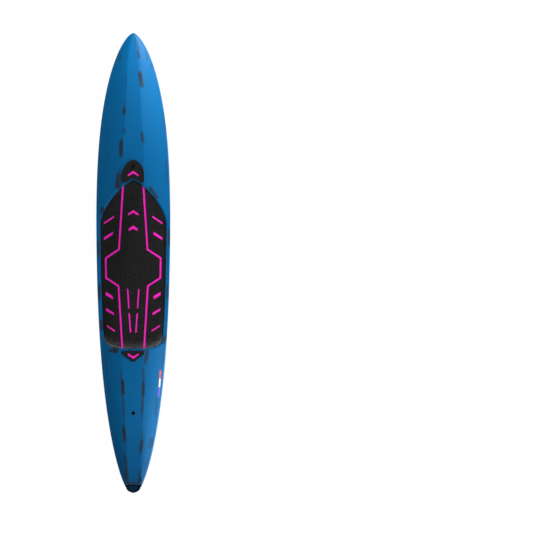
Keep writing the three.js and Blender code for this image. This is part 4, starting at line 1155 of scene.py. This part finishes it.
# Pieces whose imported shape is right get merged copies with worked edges: node, piece, finish, slot, body
# and width of the edge
sides = ("left", "right")
edgedPieces = [(f"foil_track_{side}", f"foil_track_box_{side}", "trackPlastic", "black_plastic", "hull", 0.5)
               for side in sides]
edgedPieces += [(f"track_nut_{end}_{side}", f"t_nut_{end}_{side}", "brass", "brass_nut", f"nut_{end}_{side}", 0.35)
                for end in ("front", "rear") for side in sides]
edgedPieces.append(("handle_pocket", "carry_handle", "blackPlastic", "black_plastic", "hull", 0.8))


def edgedCopy(node, width):
    mesh = bmesh.new()
    mesh.from_mesh(nodes[node].data)
    bmesh.ops.scale(mesh, vec=(1 / mm, 1 / mm, 1 / mm), verts=mesh.verts)
    bmesh.ops.remove_doubles(mesh, verts=mesh.verts, dist=meshing["nodeMerge"])
    bmesh.ops.dissolve_limit(mesh, angle_limit=radians(meshing["nodeFlat"]), verts=mesh.verts, edges=mesh.edges)
    bevelEdges(mesh, sharpEdges(mesh, meshing["nodeSharpOver"]), width)
    return mesh


for node, name, look, slot, body, width in edgedPieces:
    finishPiece(name, edgedCopy(node, width), [look], [node], body)

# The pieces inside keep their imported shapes
innerLooks = {"foam_core_left": "whiteCore", "foam_core_right": "whiteCore", "foil_block": "denseCore",
              "standing_panel": "denseCore", "stringer_front": "carbon", "stringer_rear": "carbon"}
for name, look in innerLooks.items():
    nodes[name].data.materials.clear()
    nodes[name].data.materials.append(finishes[look])
print("fittings made")


# Three-colour stripe beside the right rail, a thin print laid on the facet
stripeSizes = {"front": (150.8, -593), "rear": (139.7, -739.5), "width": 9.5, "thickness": 0.12, "lift": 0.08,
               "grid": (30, 8)}


def makeStripePiece():
    s = stripeSizes
    mesh = prism(strapOutline([s["front"], s["rear"]], s["width"]), s["lift"], s["lift"] + s["thickness"])
    layDown(mesh, deckSurface, s["grid"])
    finishPiece("rail_stripe", mesh, ["stripe"])


makeStripePiece()
print("stripe made")

# Floor, light and world: a white sweep, a low light from the right, smaller ones by nose and tail, an even fill
studio = {
    "floorHalf": 40, "floorZ": -0.0004, "floorWhite": 0.85, "cameraGlow": 0.99, "underGlow": 0.45,
    "world": 0.23, "ceiling": 0.05, "ceilingFrom": 0.35, "ceilingTo": 0.8,
    "lights": [     # name, place and aim, size in metres, and power
        ("key_light", (4, -1.96, 0.45), (0, -0.59, 0.1), (1, 0.8), 220),
        ("nose_light", (0.54, 1.53, 0.79), (0.16, 1.2, 0.1), (0.4, 0.4), 18),
        ("tail_light", (1.09, -0.78, 0.97), (0, -0.39, 0.1), (1, 1), 20),
    ],
}


# Empties the nodes of a material or a world, and gives what adds new ones to it
def emptied(owner):
    owner.use_nodes = True
    owner.node_tree.nodes.clear()
    return partial(addNode, owner.node_tree)


def makeFloor():
    mesh = bmesh.new()
    bmesh.ops.create_grid(mesh, x_segments=1, y_segments=1, size=studio["floorHalf"])
    floor = placed("floor", mesh)
    floor.location.z = studio["floorZ"]
    material = bpy.data.materials.new("white_sweep")
    add = emptied(material)
    rays = add("LightPath").outputs
    mirrored = add("Math", {0: rays["Is Glossy Ray"], 1: rays["Is Transmission Ray"]}, operation="MAXIMUM")
    seen = add("Math", {0: rays["Is Camera Ray"], 1: mirrored}, operation="MAXIMUM")
    white = studio["floorWhite"]
    diffuse = add("BsdfDiffuse", {"Color": (white, white, white, 1)})
    glow = add("Emission", {"Color": (1, 1, 1, 1), "Strength": 1})
    shown = add("MixShader", {0: studio["cameraGlow"], 1: diffuse, 2: glow})
    lowGlow = add("Emission", {"Color": (1, 1, 1, 1), "Strength": studio["underGlow"]})
    lit = add("AddShader", {0: diffuse, 1: lowGlow})
    both = add("MixShader", {0: seen, 1: lit, 2: shown})
    # Clear from below, where the board's underside is looked at
    below = add("NewGeometry").outputs["Backfacing"]
    final = add("MixShader", {0: below, 1: both, 2: add("BsdfTransparent")})
    add("OutputMaterial", {"Surface": final})
    floor.data.materials.append(material)


def makeLights():
    for name, place, aim, size, power in studio["lights"]:
        data = bpy.data.lights.new(name, "AREA")
        data.shape = "RECTANGLE"
        data.size, data.size_y = size
        data.energy = power
        light = linked(name, data)
        light.location = place
        light.rotation_euler = (Vector(aim) - Vector(place)).to_track_quat("-Z", "Y").to_euler()


# World: an even fill for the board, white to the camera, and in the gloss white all round with a dim ceiling
def makeWorld():
    world = bpy.data.worlds.new("studio")
    add = emptied(world)
    rays = add("LightPath").outputs
    way = add("TexCoord").outputs["Generated"]
    up = add("SeparateXYZ", {0: way}).outputs["Z"]
    mirrored = add("MapRange", {"Value": up, "From Min": studio["ceilingFrom"], "From Max": studio["ceilingTo"],
                                "To Min": 1, "To Max": studio["ceiling"]}, interpolation_type="SMOOTHSTEP")
    glossy = add("MapRange", {"Value": rays["Is Glossy Ray"], "To Min": studio["world"], "To Max": mirrored})
    seen = add("Math", {0: rays["Is Camera Ray"], 1: rays["Is Transmission Ray"]}, operation="MAXIMUM")
    strength = add("MapRange", {"Value": seen, "To Min": glossy})
    back = add("Background", {"Color": (1, 1, 1, 1), "Strength": strength})
    add("OutputWorld", {"Surface": back})
    bpy.context.scene.world = world


makeWorld()
makeFloor()
makeLights()
bpy.context.scene.view_settings.view_transform = "Standard"
print("studio made")
